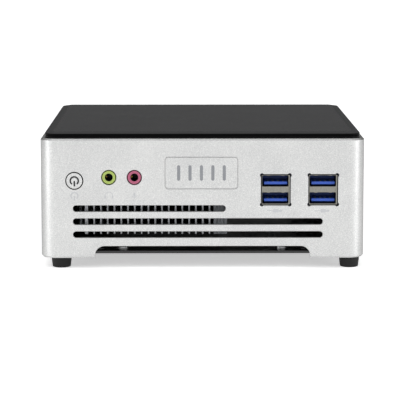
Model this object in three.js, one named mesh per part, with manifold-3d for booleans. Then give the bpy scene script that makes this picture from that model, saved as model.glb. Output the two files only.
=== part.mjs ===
// A small desktop computer. An aluminium ring carries a black lid, a steel bottom cover on four
// rubber feet, and a board hung upside down, with its ports and its cooler on the underside.
// Millimetres: X to the right, Y to the back, Z up. The origin is on the table, under the middle
// of the whole object.
import * as THREE from "three";
import { mergeVertices } from "three/addons/utils/BufferGeometryUtils.js";
import Module from "manifold-3d";

const wasm = await Module();
wasm.setup();

// ---------------------------------------------------------------- driving dimensions
const seat = 0.1; // left between two faces that rest on each other
const slip = 0.3; // left round a piece that passes through a hole
const body = { width: 154, depth: 154, height: 57, wall: 2, corner: 7.5, edge: 0.8 };
const foot = {
  height: 5.5, topRadius: 5, baseRadius: 4.4, rim: 0.6, neckRadius: 3.4, pocketDepth: 2.6,
  leftInset: 9.4, rightInset: 6.5, endInset: 9.4,
};
const cover = { thickness: 1.2, lift: 1.9 };
const lid = {
  inset: 2.1, corner: 6, step: 0.25, frame: 1, panel: 1.1, bevelWidth: 4, bevelHeight: 0.6,
  rimDepth: 3, rimWall: 1.5,
};
const screw = { radius: 1.5, headRadius: 2.6, headHeight: 1.6, bite: 6 };
const boss = { length: 8, width: 8, height: 7, coverHeight: 10 };
const board = {
  thickness: 1.6, drop: 14.1, frontGap: 2.2, rearGap: 1, sideGap: 0.8, bossInset: 27,
};
const vent = {
  height: 3, pitch: 6.25, first: 11.3, leftInset: 15.5, rightInset: 19.9, usbGap: 16.8,
  clearance: 2, rearInset: 27,
};
const arch = { inset: 25.8, height: 5.75, corner: 4.6 };
const button = {
  inset: 16.3, drop: 4.2, radius: 3.95, gap: 0.32, proud: 0.3, travel: 0.8, flange: 0.8,
  flangeRadius: 4.9, stemRadius: 1.5, stem: 1.2,
};
const tact = { size: 6, depth: 3.6, plungerRadius: 1, plungerReach: 1.2 };
const jack = {
  inset: 32.6, pitch: 12.1, drop: 2.65, collarRadius: 3.5, boreRadius: 1.8, width: 10.6,
  depth: 14, below: 4.2,
};
const badge = { sideGap: 11, height: 15.2, rise: 0.5, corner: 1.7, thickness: 0.5, gap: 0.22 };
const usb = {
  port: { width: 12.5, height: 5.2, pitch: 8.1 }, wall: 0.7, corner: 0.7, depth: 17.5,
  bodySide: 0.25, bodyCap: 1.15, bodyBase: 0.15, recess: 0.3, block: 3,
  tongue: { sideGap: 0.7, height: 1.9, recess: 1.4, drop: 1.15 }, rightInset: 19.8, pitch: 22.5,
};
const cpu = { width: 40, depth: 24, thickness: 1.8 };
const heatsink = {
  drop: 7.4, base: 3, pitch: 3.25, fin: 0.8, firstFin: 1.6, finDepth: 24, frontGap: 5.5,
  leftGap: 6, blockGap: 1.6, block: 6.4, pedestal: 30, postRadius: 3, postReach: 18,
};
const pin = { radius: 1.4, inset: 2.8, ear: 5, short: 3 };
const bay = { height: 7.3, holeX: 76.6, holeY: 61.7, holeRadius: 2.5, frontInset: 12.6 };
const inlet = { slot: 2.4, pitch: 5, rows: 7, margin: 1.5, reach: 12 };
const coverHole = { radius: 1.9, pitch: 11.5, frontInset: 50, outerX: 48.5, outerInset: 9.2 };
const blower = { size: 64, corner: 6, wall: 1.6, plate: 1.5, gap: 2, inletRadius: 19 };
const fan = {
  radius: 26, blades: 19, blade: 0.9, bladeLean: 0.35, hubRadius: 11, hubWall: 1.5,
  shaftRadius: 1, bearingWall: 1, running: 0.06,
};
const memory = {
  width: 67.6, depth: 30, thickness: 1.1, rise: 2.6, inset: 6, sideInset: 10,
  socketWidth: 73, socketDepth: 7, socketHeight: 5, arm: 2.2, armReach: 24, latch: 0.5,
};
const drive = {
  width: 27.6, depth: 50.8, thickness: 1.1, rise: 3.2, socketWidth: 30, socketDepth: 7,
  sideInset: 12, gap: 8, screwInset: 3,
};
const cell = { radius: 10, thickness: 3.2, floor: 0.8, wall: 1.2, lip: 0.4, inset: 24 };
const radio = { width: 16, depth: 20, height: 2.4 };
const io = { inset: 16, below: 1.65, plate: 1, lap: 1.6, portGap: 0.25, recess: 0.2 };
const antenna = {
  radius: 3.05, length: 9, flange: 8.2, flangeDepth: 1.6, nut: 9, nutDepth: 2.2, drop: 8,
  inset: 24, boreRadius: 2.2, boreDepth: 7,
};

// ---------------------------------------------------------------- derived planes
const frontFace = -body.depth / 2;
const rearFace = body.depth / 2;
const innerX = body.width / 2 - body.wall;
const innerY = body.depth / 2 - body.wall;
const ringBottom = foot.height;
const ringTop = ringBottom + body.height;
const coverBottom = ringBottom + cover.lift;
const coverTop = coverBottom + cover.thickness;
const boardTop = ringTop - board.drop;
const boardBottom = boardTop - board.thickness;
const boardFront = -innerY + board.frontGap;
const plateFront = innerY - seat - io.plate;
const boardRear = plateFront - board.rearGap;
const boardWidth = 2 * (innerX - board.sideGap);

// The face of a double USB port, and how far its middle is below the board
const usbFace = {
  width: usb.port.width + 2 * usb.wall,
  height: usb.port.pitch + usb.port.height + 2 * usb.wall,
};
const usbDrop = seat + usb.bodyCap + usbFace.height / 2;

// Ports along the front
const buttonX = -body.width / 2 + button.inset;
const jackX = [-body.width / 2 + jack.inset, -body.width / 2 + jack.inset + jack.pitch];
const usbX = [body.width / 2 - usb.rightInset - usb.pitch, body.width / 2 - usb.rightInset];
const usbZ = boardBottom - usbDrop;
const usbCutBottom = usbZ - usbFace.height / 2 - seat;
const badgeLeft = jackX[1] + jack.collarRadius + badge.sideGap;
const badgeRight = usbX[0] - usbFace.width / 2 - badge.sideGap;
const badgeZ = boardBottom - badge.rise;

// Ports along the back. Across, they keep their share of the opening in the wall.
const ioWidth = body.width - 2 * io.inset;
const share = (ioWidth - 2) / 120;
const powerPort = { x: 52 * share, width: 9, height: 11, depth: 14, bore: 2.9, pin: 1.05 };
const videoPort = { x: 33 * share, width: 15, height: 5.6, depth: 12, rim: 0.5, bevel: 1.4 };
const networkPort = { x: 11 * share, width: 16, height: 13.5, depth: 21 };
const rearUsb = {
  inner: { ...usbFace, x: -14 * share, drop: usbDrop },
  outer: { ...usbFace, x: -36.5 * share, drop: usbDrop },
};
const rearPorts = [powerPort, videoPort, networkPort, ...Object.values(rearUsb)];
// From the underside of the board down to a port's centre
const portDrop = ({ drop, height }) => drop ?? height / 2 + seat;
const portPlace = (port) => [port.x, 0, -portDrop(port)];
const ioBottom = boardBottom - io.below
  - Math.max(...rearPorts.map((port) => portDrop(port) + port.height / 2));
const antennaX = body.width / 2 - antenna.inset;
const antennaZ = ringTop - antenna.drop;

// Vents: full rows under the USB ports, and shorter rows beside them
const ventLeft = -body.width / 2 + vent.leftInset;
const ventRight = body.width / 2 - vent.rightInset;
const ventShort = usbX[0] - usbFace.width / 2 - vent.usbGap;
const ventCeiling = boardBottom - button.drop - button.radius - vent.clearance;
const ventRows = [];
for (let z = ringBottom + vent.first; z + vent.height / 2 < ventCeiling; z += vent.pitch) {
  const long = z + vent.height / 2 < usbCutBottom - vent.clearance;
  ventRows.push({ z, right: long ? ventRight : ventShort });
}

// Cooler
const finLeft = ventLeft + heatsink.leftGap;
const finCount = Math.floor((ventShort - heatsink.block - finLeft) / heatsink.pitch) + 1;
const lastFinRight = finLeft + (finCount - 1) * heatsink.pitch + heatsink.fin;
const slabRight = lastFinRight + heatsink.blockGap + heatsink.block;
const coolerX = (finLeft + slabRight) / 2;
const finBottom = coverTop + bay.height;
const slabTop = boardBottom - heatsink.drop;
const slabBottom = slabTop - heatsink.base;
const finFront = -innerY + heatsink.frontGap;
const finBack = finFront + heatsink.finDepth;
const blowerFront = finBack + blower.gap;
const blowerBack = blowerFront + blower.size;
const blowerY = blowerFront + blower.size / 2;
const blowerTop = slabBottom - slip;
const cpuBottom = boardBottom - seat - cpu.thickness;

// Places that several pieces share
const footPlaces = [
  ["front_left", -body.width / 2 + foot.leftInset, frontFace + foot.endInset],
  ["front_right", body.width / 2 - foot.rightInset, frontFace + foot.endInset],
  ["rear_left", -body.width / 2 + foot.leftInset, rearFace - foot.endInset],
  ["rear_right", body.width / 2 - foot.rightInset, rearFace - foot.endInset],
];
const boardScrewX = innerX - boss.length / 2;
const boardScrewY = innerY - board.bossInset;
const coolerScrewPlaces = [
  ["front", coolerX - heatsink.postReach, blowerY - heatsink.postReach],
  ["rear", coolerX + heatsink.postReach, blowerY + heatsink.postReach],
];
const boardPlaces = [
  ["front_left", -boardScrewX, -boardScrewY],
  ["front_right", boardScrewX, -boardScrewY],
  ["rear_left", -boardScrewX, boardScrewY],
  ["rear_right", boardScrewX, boardScrewY],
];

// ---------------------------------------------------------------- shapes
const box = (x0, x1, y0, y1, z0, z1) =>
  new THREE.BoxGeometry(x1 - x0, y1 - y0, z1 - z0)
    .translate((x0 + x1) / 2, (y0 + y1) / 2, (z0 + z1) / 2);

const post = (radius, z0, z1, sides = 20) =>
  new THREE.CylinderGeometry(radius, radius, z1 - z0, sides)
    .rotateX(Math.PI / 2)
    .translate(0, 0, (z0 + z1) / 2);

const rod = (radius, y0, y1, sides = 24) =>
  new THREE.CylinderGeometry(radius, radius, y1 - y0, sides).translate(0, (y0 + y1) / 2, 0);

function roundedRect(width, height, radius) {
  const [x, y] = [width / 2, height / 2];
  const s = new THREE.Shape();
  s.moveTo(-x + radius, -y);
  s.lineTo(x - radius, -y);
  s.absarc(x - radius, -y + radius, radius, -Math.PI / 2, 0);
  s.lineTo(x, y - radius);
  s.absarc(x - radius, y - radius, radius, 0, Math.PI / 2);
  s.lineTo(-x + radius, y);
  s.absarc(-x + radius, y - radius, radius, Math.PI / 2, Math.PI);
  s.lineTo(-x, -y + radius);
  s.absarc(-x + radius, -y + radius, radius, Math.PI, 1.5 * Math.PI);
  return s;
}

// An outline in X and Y, raised from z0 to z1
const slab = (shape, z0, z1, curveSegments = 3) =>
  new THREE.ExtrudeGeometry(shape, { depth: z1 - z0, bevelEnabled: false, curveSegments })
    .translate(0, 0, z0);

// An outline in X and Z, carried from y0 to y1
const through = (shape, y0, y1, curveSegments = 2) =>
  new THREE.ExtrudeGeometry(shape, { depth: y1 - y0, bevelEnabled: false, curveSegments })
    .rotateX(Math.PI / 2)
    .translate(0, y1, 0);

// The same raised outline, with a sloping edge at its top and its bottom
const edgedSlab = (shape, z0, z1, edgeWidth, edgeHeight, curveSegments) =>
  new THREE.ExtrudeGeometry(shape, {
    depth: z1 - z0 - 2 * edgeHeight, curveSegments,
    bevelEnabled: true, bevelSegments: 1,
    bevelSize: edgeWidth, bevelOffset: -edgeWidth, bevelThickness: edgeHeight,
  }).translate(0, 0, z0 + edgeHeight);

// A profile of [radius, height] pairs, turned about Z; its outer side runs upwards
const turned = (profile, sides) =>
  new THREE.LatheGeometry([...profile, profile[0]].map(([r, z]) => new THREE.Vector2(r, z)), sides)
    .rotateX(Math.PI / 2);

// ---------------------------------------------------------------- joining and cutting
function solidOf(geometry) {
  const bare = geometry.clone();
  for (const name of ["normal", "uv"]) bare.deleteAttribute(name);
  const merged = mergeVertices(bare, 1e-4);
  return new wasm.Manifold(new wasm.Mesh({
    numProp: 3,
    vertProperties: merged.attributes.position.array,
    triVerts: new Uint32Array(merged.index.array),
  }));
}

function geometryOf(solid) {
  const mesh = solid.getMesh();
  const geometry = new THREE.BufferGeometry()
    .setAttribute("position", new THREE.BufferAttribute(new Float32Array(mesh.vertProperties), 3))
    .setIndex(new THREE.BufferAttribute(new Uint32Array(mesh.triVerts), 1));
  geometry.computeVertexNormals();
  return geometry;
}

const join = (...pieces) => geometryOf(pieces.map(solidOf).reduce((a, b) => a.add(b)));
const cut = (piece, ...tools) =>
  geometryOf(tools.map(solidOf).reduce((a, b) => a.subtract(b), solidOf(piece)));
const at = (geometry, x, y, z) => geometry.clone().translate(x, y, z);

// ---------------------------------------------------------------- finishes
const finish = (color, roughness, metalness = 0) =>
  new THREE.MeshStandardMaterial({ color, roughness, metalness });
const finishes = {
  aluminium: finish(0xcdcfd0, 0.42, 0.9),
  lidFrame: finish(0x101012, 0.45),
  lidPanel: finish(0x2c2c2e, 0.12),
  coverSteel: finish(0x141414, 0.5, 0.4),
  rubber: finish(0x0c0c0c, 0.8),
  screwSteel: finish(0x8f9296, 0.35, 1),
  portMetal: finish(0xb4b3aa, 0.35, 1),
  usbBlue: finish(0x2446b8, 0.5),
  portBlack: finish(0x111111, 0.55),
  jackGreen: finish(0xb7cf72, 0.45),
  jackPink: finish(0xc9688f, 0.45),
  circuitBoard: finish(0x14301f, 0.5),
  chipBlack: finish(0x18181a, 0.45),
  finMetal: finish(0xc3c5c8, 0.4, 1),
  fanPlastic: finish(0x151517, 0.5),
  brass: finish(0xb48a3c, 0.3, 1),
  copper: finish(0xa75a2c, 0.4, 1),
  socketPlastic: finish(0x2a2622, 0.6),
};

// ---------------------------------------------------------------- the case
function makeShell() {
  const outer = edgedSlab(
    roundedRect(body.width, body.depth, body.corner), ringBottom, ringTop, body.edge, body.edge, 5);
  const hollow = slab(
    roundedRect(2 * innerX, 2 * innerY, body.corner - body.wall), ringBottom - 1, ringTop + 1);
  const coverBosses = footPlaces.map(([, x, y]) => {
    const [sx, sy] = [Math.sign(x), Math.sign(y)];
    const [nearX, nearY] = [x - sx * boss.width / 2, y - sy * boss.width / 2];
    const [wallX, wallY] = [sx * (innerX + body.wall / 2), sy * (innerY + body.wall / 2)];
    return box(Math.min(nearX, wallX), Math.max(nearX, wallX), Math.min(nearY, wallY),
      Math.max(nearY, wallY), coverTop + seat, coverTop + seat + boss.coverHeight);
  });
  const boardBosses = boardPlaces.map(([, x, y]) => {
    const wallX = Math.sign(x) * (innerX + body.wall / 2);
    const nearX = x - Math.sign(x) * boss.length / 2;
    return box(Math.min(nearX, wallX), Math.max(nearX, wallX), y - boss.width / 2,
      y + boss.width / 2, boardBottom - seat - boss.height, boardBottom - seat);
  });
  const trimmed = geometryOf(
    solidOf(join(...coverBosses)).intersect(solidOf(outer)));
  const ring = join(cut(outer, hollow), trimmed, ...boardBosses);
  return cut(ring, ...frontCuts(), ...rearCuts(),
    ...footPlaces.map(([, x, y]) =>
      at(post(screw.radius + slip, coverTop, coverTop + boss.coverHeight - 1, 12), x, y, 0)),
    ...boardPlaces.map(([, x, y]) =>
      at(post(screw.radius + slip, boardBottom - boss.height + 1, boardBottom, 12), x, y, 0)));
}

function ventCuts(rows, y0, y1) {
  return rows.map(({ z, left, right }) =>
    at(through(roundedRect(right - left, vent.height, vent.height / 2 - 0.01), y0, y1),
      (left + right) / 2, 0, z));
}

function frontCuts() {
  const [y0, y1] = [frontFace - 1, -innerY + 1];
  const usbHole = through(roundedRect(usbFace.width + 2 * seat, usbFace.height + 2 * seat, usb.corner),
    y0, y1);
  const archCut = through(
    roundedRect(body.width - 2 * arch.inset, 2 * arch.height, arch.corner), y0, y1, 4);
  const pocket = through(
    roundedRect(badgeRight - badgeLeft, badge.height, badge.corner),
    y0, frontFace + badge.thickness + seat);
  return [
    ...ventCuts(ventRows.map((row) => ({ ...row, left: ventLeft })), y0, y1),
    at(rod(button.radius + button.gap, y0, y1, 32), buttonX, 0, boardBottom - button.drop),
    ...jackX.map((x) => at(rod(jack.collarRadius + seat, y0, y1), x, 0, boardBottom - jack.drop)),
    ...usbX.map((x) => at(usbHole, x, 0, usbZ)),
    at(archCut, 0, 0, ringBottom),
    at(pocket, (badgeLeft + badgeRight) / 2, 0, badgeZ),
  ];
}

function rearCuts() {
  const [y0, y1] = [innerY - 0.5, rearFace + 1];
  const opening = box(-ioWidth / 2, ioWidth / 2, y0, y1, ioBottom, boardTop - seat);
  const rows = ventRows.filter(({ z }) => z + vent.height / 2 < ioBottom - io.lap);
  const sides = [-body.width / 2 + vent.rearInset, body.width / 2 - vent.rearInset];
  return [
    opening,
    ...ventCuts(rows.map(({ z }) => ({ z, left: sides[0], right: sides[1] })), y0, y1),
    ...[-antennaX, antennaX].map((x) => at(rod(antenna.radius + slip, y0, y1, 16), x, 0, antennaZ)),
  ];
}

function makeLidFrame() {
  const [width, depth] = [body.width - 2 * lid.inset, body.depth - 2 * lid.inset];
  const plate = slab(
    roundedRect(width - 2 * lid.step, depth - 2 * lid.step, lid.corner - lid.step),
    ringTop + seat, ringTop + seat + lid.frame);
  const [rimX, rimY] = [innerX - slip, innerY - slip];
  const rimCorner = body.corner - body.wall - slip;
  const rim = slab(roundedRect(2 * rimX, 2 * rimY, rimCorner), ringTop - lid.rimDepth,
    ringTop + 2 * seat);
  const rimHollow = slab(
    roundedRect(2 * (rimX - lid.rimWall), 2 * (rimY - lid.rimWall), rimCorner - lid.rimWall),
    ringTop - lid.rimDepth - 1, ringTop + seat);
  return join(plate, cut(rim, rimHollow));
}

function makeLidPanel() {
  const base = ringTop + 2 * seat + lid.frame;
  const whole = edgedSlab(
    roundedRect(body.width - 2 * lid.inset, body.depth - 2 * lid.inset, lid.corner),
    base - lid.panel - lid.bevelHeight, base + lid.panel + lid.bevelHeight,
    lid.bevelWidth, lid.bevelHeight, 4);
  const lower = box(-body.width, body.width, -body.depth, body.depth, base - 10, base);
  return cut(whole, lower);
}

// Rows of slots under the blower, two rows of round holes at the right, and a hole outside
// each front drive hole
function coverVents() {
  const [z0, z1] = [coverBottom - 1, coverTop + 1];
  const left = -bay.holeX / 2 + bay.holeRadius + inlet.margin;
  const right = coolerX + inlet.reach;
  const slot = slab(roundedRect(right - left, inlet.slot, inlet.slot / 2 - 0.01), z0, z1, 1);
  const slots = Array.from({ length: inlet.rows }, (_, i) =>
    at(slot, (left + right) / 2, blowerY + (i - (inlet.rows - 1) / 2) * inlet.pitch, 0));
  const hole = post(coverHole.radius, z0, z1, 12);
  const holeY = frontFace + coverHole.frontInset;
  const field = [-1, 0, 1].flatMap((column) => [0, 1].map((row) =>
    at(hole, usbX[0] + column * coverHole.pitch, holeY + row * coverHole.pitch, 0)));
  const outer = [-1, 1].map((side) =>
    at(hole, side * coverHole.outerX, frontFace + coverHole.outerInset, 0));
  return [...slots, ...field, ...outer];
}

function makeCover() {
  const plate = slab(
    roundedRect(2 * (innerX - slip), 2 * (innerY - slip), body.corner - body.wall - slip),
    coverBottom, coverTop);
  const driveHole = post(bay.holeRadius, coverBottom - 1, coverTop + 1, 16);
  const bayY = frontFace + bay.frontInset;
  const driveHoles = [-1, 1].flatMap((side) =>
    [bayY, bayY + bay.holeY].map((y) => at(driveHole, side * bay.holeX / 2, y, 0)));
  const screwHoles = footPlaces.map(([, x, y]) =>
    at(post(screw.radius + slip, coverBottom - 1, coverTop + 1, 12), x, y, 0));
  return cut(plate, ...driveHoles, ...screwHoles, ...coverVents());
}

const makeFoot = () => turned([
  [foot.baseRadius - foot.rim, 0], [foot.baseRadius, foot.rim],
  [foot.topRadius, foot.height - 2 * seat], [foot.neckRadius, foot.height - 2 * seat],
  [foot.neckRadius, coverBottom - seat], [screw.radius + slip, coverBottom - seat],
  [screw.radius + slip, foot.pocketDepth], [screw.headRadius + slip, foot.pocketDepth],
  [screw.headRadius + slip, 0],
], 18);

// A pan-head screw standing on its head, with its shank upwards
const makeScrew = (length) => join(
  post(screw.headRadius, 0, screw.headHeight, 14),
  post(screw.radius, screw.headHeight - 0.2, screw.headHeight + length, 12));

// ---------------------------------------------------------------- front ports
// Each port is made with its mating face at y = 0 and its body behind it, towards +Y.
function makeUsbShell(bodyStart) {
  const { port } = usb;
  const { width, height } = usbFace;
  const nose = through(roundedRect(width, height, usb.corner), 0, bodyStart + 1, 1);
  const housing = box(-width / 2 - usb.bodySide, width / 2 + usb.bodySide, bodyStart, usb.depth,
    -height / 2 - usb.bodyBase, height / 2 + usb.bodyCap);
  const [halfX, halfZ] = [port.width / 2, (port.pitch + port.height) / 2];
  const cavities = [-1, 1].map((side) =>
    box(-halfX, halfX, -1, usb.depth, side * port.pitch / 2 - port.height / 2,
      side * port.pitch / 2 + port.height / 2));
  const back = box(-halfX, halfX, usb.depth - usb.block, usb.depth + 1, -halfZ, halfZ);
  const recess = box(-halfX, halfX, -1, 0.5, -port.pitch / 2, port.pitch / 2);
  return cut(join(nose, housing), ...cavities, back, recess);
}

function makeUsbTongues() {
  const { port, tongue } = usb;
  const [halfX, halfZ] = [port.width / 2 - seat, (port.pitch + port.height) / 2 - seat];
  const halfTongue = port.width / 2 - tongue.sideGap;
  const block = box(-halfX, halfX, usb.depth - usb.block + seat, usb.depth, -halfZ, halfZ);
  const tongues = [-1, 1].map((side) => {
    const z = side * port.pitch / 2 - tongue.drop;
    return box(-halfTongue, halfTongue, tongue.recess, usb.depth - 1,
      z - tongue.height / 2, z + tongue.height / 2);
  });
  return join(block, ...tongues);
}

function makeAudioJack() {
  const collar = rod(jack.collarRadius, 0, body.wall + board.frontGap - slip);
  const housing = box(-jack.width / 2, jack.width / 2, body.wall + slip, jack.depth,
    -jack.below, jack.drop - seat);
  return cut(join(collar, housing), rod(jack.boreRadius, -1, jack.depth - 1));
}

const buttonLength = body.wall + button.proud + seat + button.flange + button.stem;

// The cap's disc, its flange behind the wall, and the stem that reaches the switch
function makeButton() {
  const flangeFront = body.wall + button.proud + seat;
  return join(
    rod(button.radius, 0, flangeFront + 0.2, 32),
    rod(button.flangeRadius, flangeFront, flangeFront + button.flange, 24),
    rod(button.stemRadius, flangeFront, buttonLength, 16));
}
const tactFront = buttonLength + button.travel + seat;
const makePlunger = () => rod(tact.plungerRadius, buttonLength + seat,
  tactFront + tact.plungerReach, 12);
const makeTactSwitch = () => cut(
  join(box(-tact.size / 2, tact.size / 2, tactFront, tactFront + tact.depth,
    -tact.size / 2, tact.size / 2),
  box(-tact.size / 2, tact.size / 2, tactFront + 1, tactFront + tact.depth, 0,
    button.drop - seat)),
  rod(tact.plungerRadius + 0.2, tactFront - 1,
    tactFront + tact.plungerReach + button.travel + slip, 12));

const makeBadge = () => through(
  roundedRect(badgeRight - badgeLeft - 2 * badge.gap, badge.height - 2 * badge.gap,
    badge.corner - badge.gap), 0, badge.thickness);

// ---------------------------------------------------------------- board and cooler
function makeBoard() {
  const outline = roundedRect(boardWidth, boardRear - boardFront, body.corner - body.wall);
  const plate = at(slab(outline, boardBottom, boardTop), 0, (boardFront + boardRear) / 2, 0);
  return cut(plate, ...[...boardPlaces, ...coolerScrewPlaces].map(([, x, y]) =>
    at(post(screw.radius + slip, boardBottom - 1, boardTop + 1, 12), x, y, 0)));
}

// Fins under the slab's front, a solid block at their right end, a guide pin on an ear at their
// left, and on top the pedestal for the processor and the posts for the screws
function makeHeatsink() {
  const column = (x0, x1) => box(x0, x1, finFront, finBack, finBottom, slabBottom + 0.5);
  const fins = Array.from({ length: finCount }, (_, i) => {
    const right = finLeft + i * heatsink.pitch + heatsink.fin;
    return column(right - (i === 0 ? heatsink.firstFin : heatsink.fin), right);
  });
  const half = heatsink.pedestal / 2;
  const posts = coolerScrewPlaces.map(([, x, y]) =>
    at(post(heatsink.postRadius, slabTop - 0.5, boardBottom - seat, 16), x, y, 0));
  const holes = coolerScrewPlaces.map(([, x, y]) =>
    at(post(screw.radius + slip, boardBottom - screw.bite - 0.5, boardBottom, 12), x, y, 0));
  return cut(
    join(
      box(finLeft, slabRight, finFront, blowerBack, slabBottom, slabTop),
      box(finLeft - pin.ear, finLeft + 1, finFront, finFront + pin.ear, slabBottom, slabTop),
      at(post(pin.radius, finBottom + pin.short, slabBottom + 0.5, 16),
        finLeft - pin.inset, finFront + pin.ear / 2, 0),
      box(coolerX - half, coolerX + half, blowerY - half, blowerY + half,
        slabTop - 0.5, cpuBottom - seat),
      column(slabRight - heatsink.block, slabRight),
      ...fins, ...posts),
    ...holes);
}

const bearingOuter = fan.shaftRadius + fan.running + fan.bearingWall;
const sleeveOuter = bearingOuter + seat + 1;
const coverPlateTop = finBottom + blower.plate;
const hubBottom = coverPlateTop + 1.5;
const hubTop = blowerTop - blower.plate - 1;

function makeBlowerHousing() {
  const outline = roundedRect(blower.size, blower.size, blower.corner);
  const outer = slab(outline, coverPlateTop + seat, blowerTop);
  const chamber = slab(roundedRect(blower.size - 2 * blower.wall, blower.size - 2 * blower.wall,
    blower.corner - blower.wall), coverPlateTop - 1, blowerTop - blower.plate);
  const mouth = box(-blower.size / 2 + blower.wall, blower.size / 2 - blower.wall,
    -blower.size / 2 - 1, 0, coverPlateTop - 1, blowerTop - blower.plate);
  const sleeve = post(sleeveOuter, hubBottom + fan.hubWall + 1, blowerTop - 0.5, 16);
  const bore = post(bearingOuter + seat, coverPlateTop - 1, blowerTop - blower.plate, 16);
  return cut(join(cut(outer, chamber, mouth), sleeve), bore);
}

const makeBlowerCover = () => cut(
  slab(roundedRect(blower.size, blower.size, blower.corner), finBottom, coverPlateTop),
  post(blower.inletRadius, finBottom - 1, coverPlateTop + 1, 28));

function makeImpeller() {
  const hub = cut(post(fan.hubRadius, hubBottom, hubTop, 24),
    post(fan.hubRadius - fan.hubWall, hubBottom + fan.hubWall, hubTop + 1, 24),
    post(fan.shaftRadius + seat, hubBottom - 1, hubTop, 12));
  const blades = Array.from({ length: fan.blades }, (_, i) =>
    box(0, fan.radius - fan.hubRadius + 1, -fan.blade / 2, fan.blade / 2, hubBottom, hubTop - 1)
      .rotateZ(fan.bladeLean)
      .translate(fan.hubRadius - 0.8, 0, 0)
      .rotateZ((i * 2 * Math.PI) / fan.blades));
  return join(hub, ...blades);
}
const makeShaft = () => post(fan.shaftRadius, hubBottom + 0.2, blowerTop - blower.plate - slip, 12);
const bearingBottom = hubBottom + fan.hubWall + 1.2;
const makeBearing = () => cut(
  post(bearingOuter, bearingBottom, blowerTop - blower.plate - seat, 16),
  post(fan.shaftRadius + fan.running, bearingBottom - 1, blowerTop, 16));
const makeStator = () => cut(
  post(fan.hubRadius - fan.hubWall - 1, bearingBottom + 0.5, hubTop - 0.5, 20),
  post(sleeveOuter + seat, bearingBottom - 1, hubTop + 1, 16));

// ---------------------------------------------------------------- cards on the board's top
// Each piece is made with its socket's front at y = 0 and the board's top at z = 0.
const memoryPlace = [
  -boardWidth / 2 + memory.sideInset + memory.socketWidth / 2, boardFront + memory.inset, 0];
const drivePlace = [
  boardWidth / 2 - drive.sideInset - drive.socketWidth / 2,
  memoryPlace[1] + memory.socketDepth + memory.armReach + drive.gap, 0];
const cellPlace = [-boardWidth / 2 + cell.inset, boardRear - cell.inset, 0];
const radioPlace = [0, boardRear - cell.inset, 0];
const memoryEdge = memory.socketDepth - 3.8; // the front edge of the module, in its groove
const driveEdge = drive.socketDepth - 3.8;
const chipRow = (count, pitch, width, depth, y, z0, z1) =>
  Array.from({ length: count }, (_, i) => {
    const x = (i - (count - 1) / 2) * pitch;
    return box(x - width / 2, x + width / 2, y, y + depth, z0, z1);
  });

function makeMemorySocket() {
  const [half, back] = [memory.socketWidth / 2, memory.socketDepth + memory.armReach];
  const bar = box(-half, half, 0, memory.socketDepth, 0, memory.socketHeight);
  const arms = [[-half, -half + memory.arm], [half - memory.arm, half]].map(([x0, x1]) =>
    box(x0, x1, memory.socketDepth - 1, back, 0, memory.rise - seat));
  const groove = box(-memory.width / 2 - seat, memory.width / 2 + seat, memoryEdge - seat,
    memory.socketDepth + 1, memory.rise - seat, memory.rise + memory.thickness + seat);
  return cut(join(bar, ...arms), groove);
}

const makeMemoryModule = () => join(
  box(-memory.width / 2, memory.width / 2, memoryEdge, memoryEdge + memory.depth,
    memory.rise, memory.rise + memory.thickness),
  ...chipRow(4, 15, 9, 11, memory.socketDepth + 8, memory.rise + memory.thickness - 0.2,
    memory.rise + memory.thickness + 1));

// A leaf along the outside of an arm, with a hook over the module. This one is for the right
// arm, whose outer face is at x = 0, and it turns about the leaf's front end.
function makeLatch() {
  const [x0, x1] = [seat, seat + memory.latch];
  const top = memory.rise + memory.thickness + seat;
  return join(
    box(x0, x1, 0, memory.armReach - 1, seat, top + memory.latch),
    box(x0 - memory.arm - 1.3, x0 + 0.1, memory.armReach - 7, memory.armReach - 1,
      top, top + memory.latch));
}

const makeDriveSocket = () => cut(
  box(-drive.socketWidth / 2, drive.socketWidth / 2, 0, drive.socketDepth, 0, drive.rise + 2),
  box(-drive.width / 2 - seat, drive.width / 2 + seat, driveEdge - seat, drive.socketDepth + 1,
    drive.rise - seat, drive.rise + drive.thickness + seat));
const driveScrewY = driveEdge + drive.depth - drive.screwInset;
const makeDriveCard = () => cut(
  join(
    box(-drive.width / 2, drive.width / 2, driveEdge, driveEdge + drive.depth, drive.rise,
      drive.rise + drive.thickness),
    ...chipRow(2, 13.4, 11.5, 17, 13, drive.rise + drive.thickness - 0.2,
      drive.rise + drive.thickness + 1.1)),
  at(post(screw.radius + slip, 0, 10, 12), 0, driveScrewY, 0));

// A hexagonal standoff under the card, the shank through it, and the head above it
function makeDriveScrew() {
  const headBottom = drive.rise + drive.thickness + seat;
  return join(
    post(3, 0, drive.rise - seat, 6),
    post(screw.radius, drive.rise - 0.3, headBottom + 0.2, 12),
    post(screw.headRadius, headBottom, headBottom + 1.2, 14));
}

function makeCellHolder() {
  const radius = cell.radius + slip + cell.wall;
  const height = cell.floor + seat + cell.thickness + cell.lip;
  return cut(
    post(radius, 0, height, 24),
    post(cell.radius + slip, cell.floor, height + 1, 24),
    box(-4, 4, -radius - 1, 0, cell.floor, height + 1));
}
const makeCell = () =>
  post(cell.radius, cell.floor + seat, cell.floor + seat + cell.thickness, 28);
const makeRadio = () =>
  box(-radio.width / 2, radio.width / 2, -radio.depth / 2, radio.depth / 2, 0, radio.height);

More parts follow.
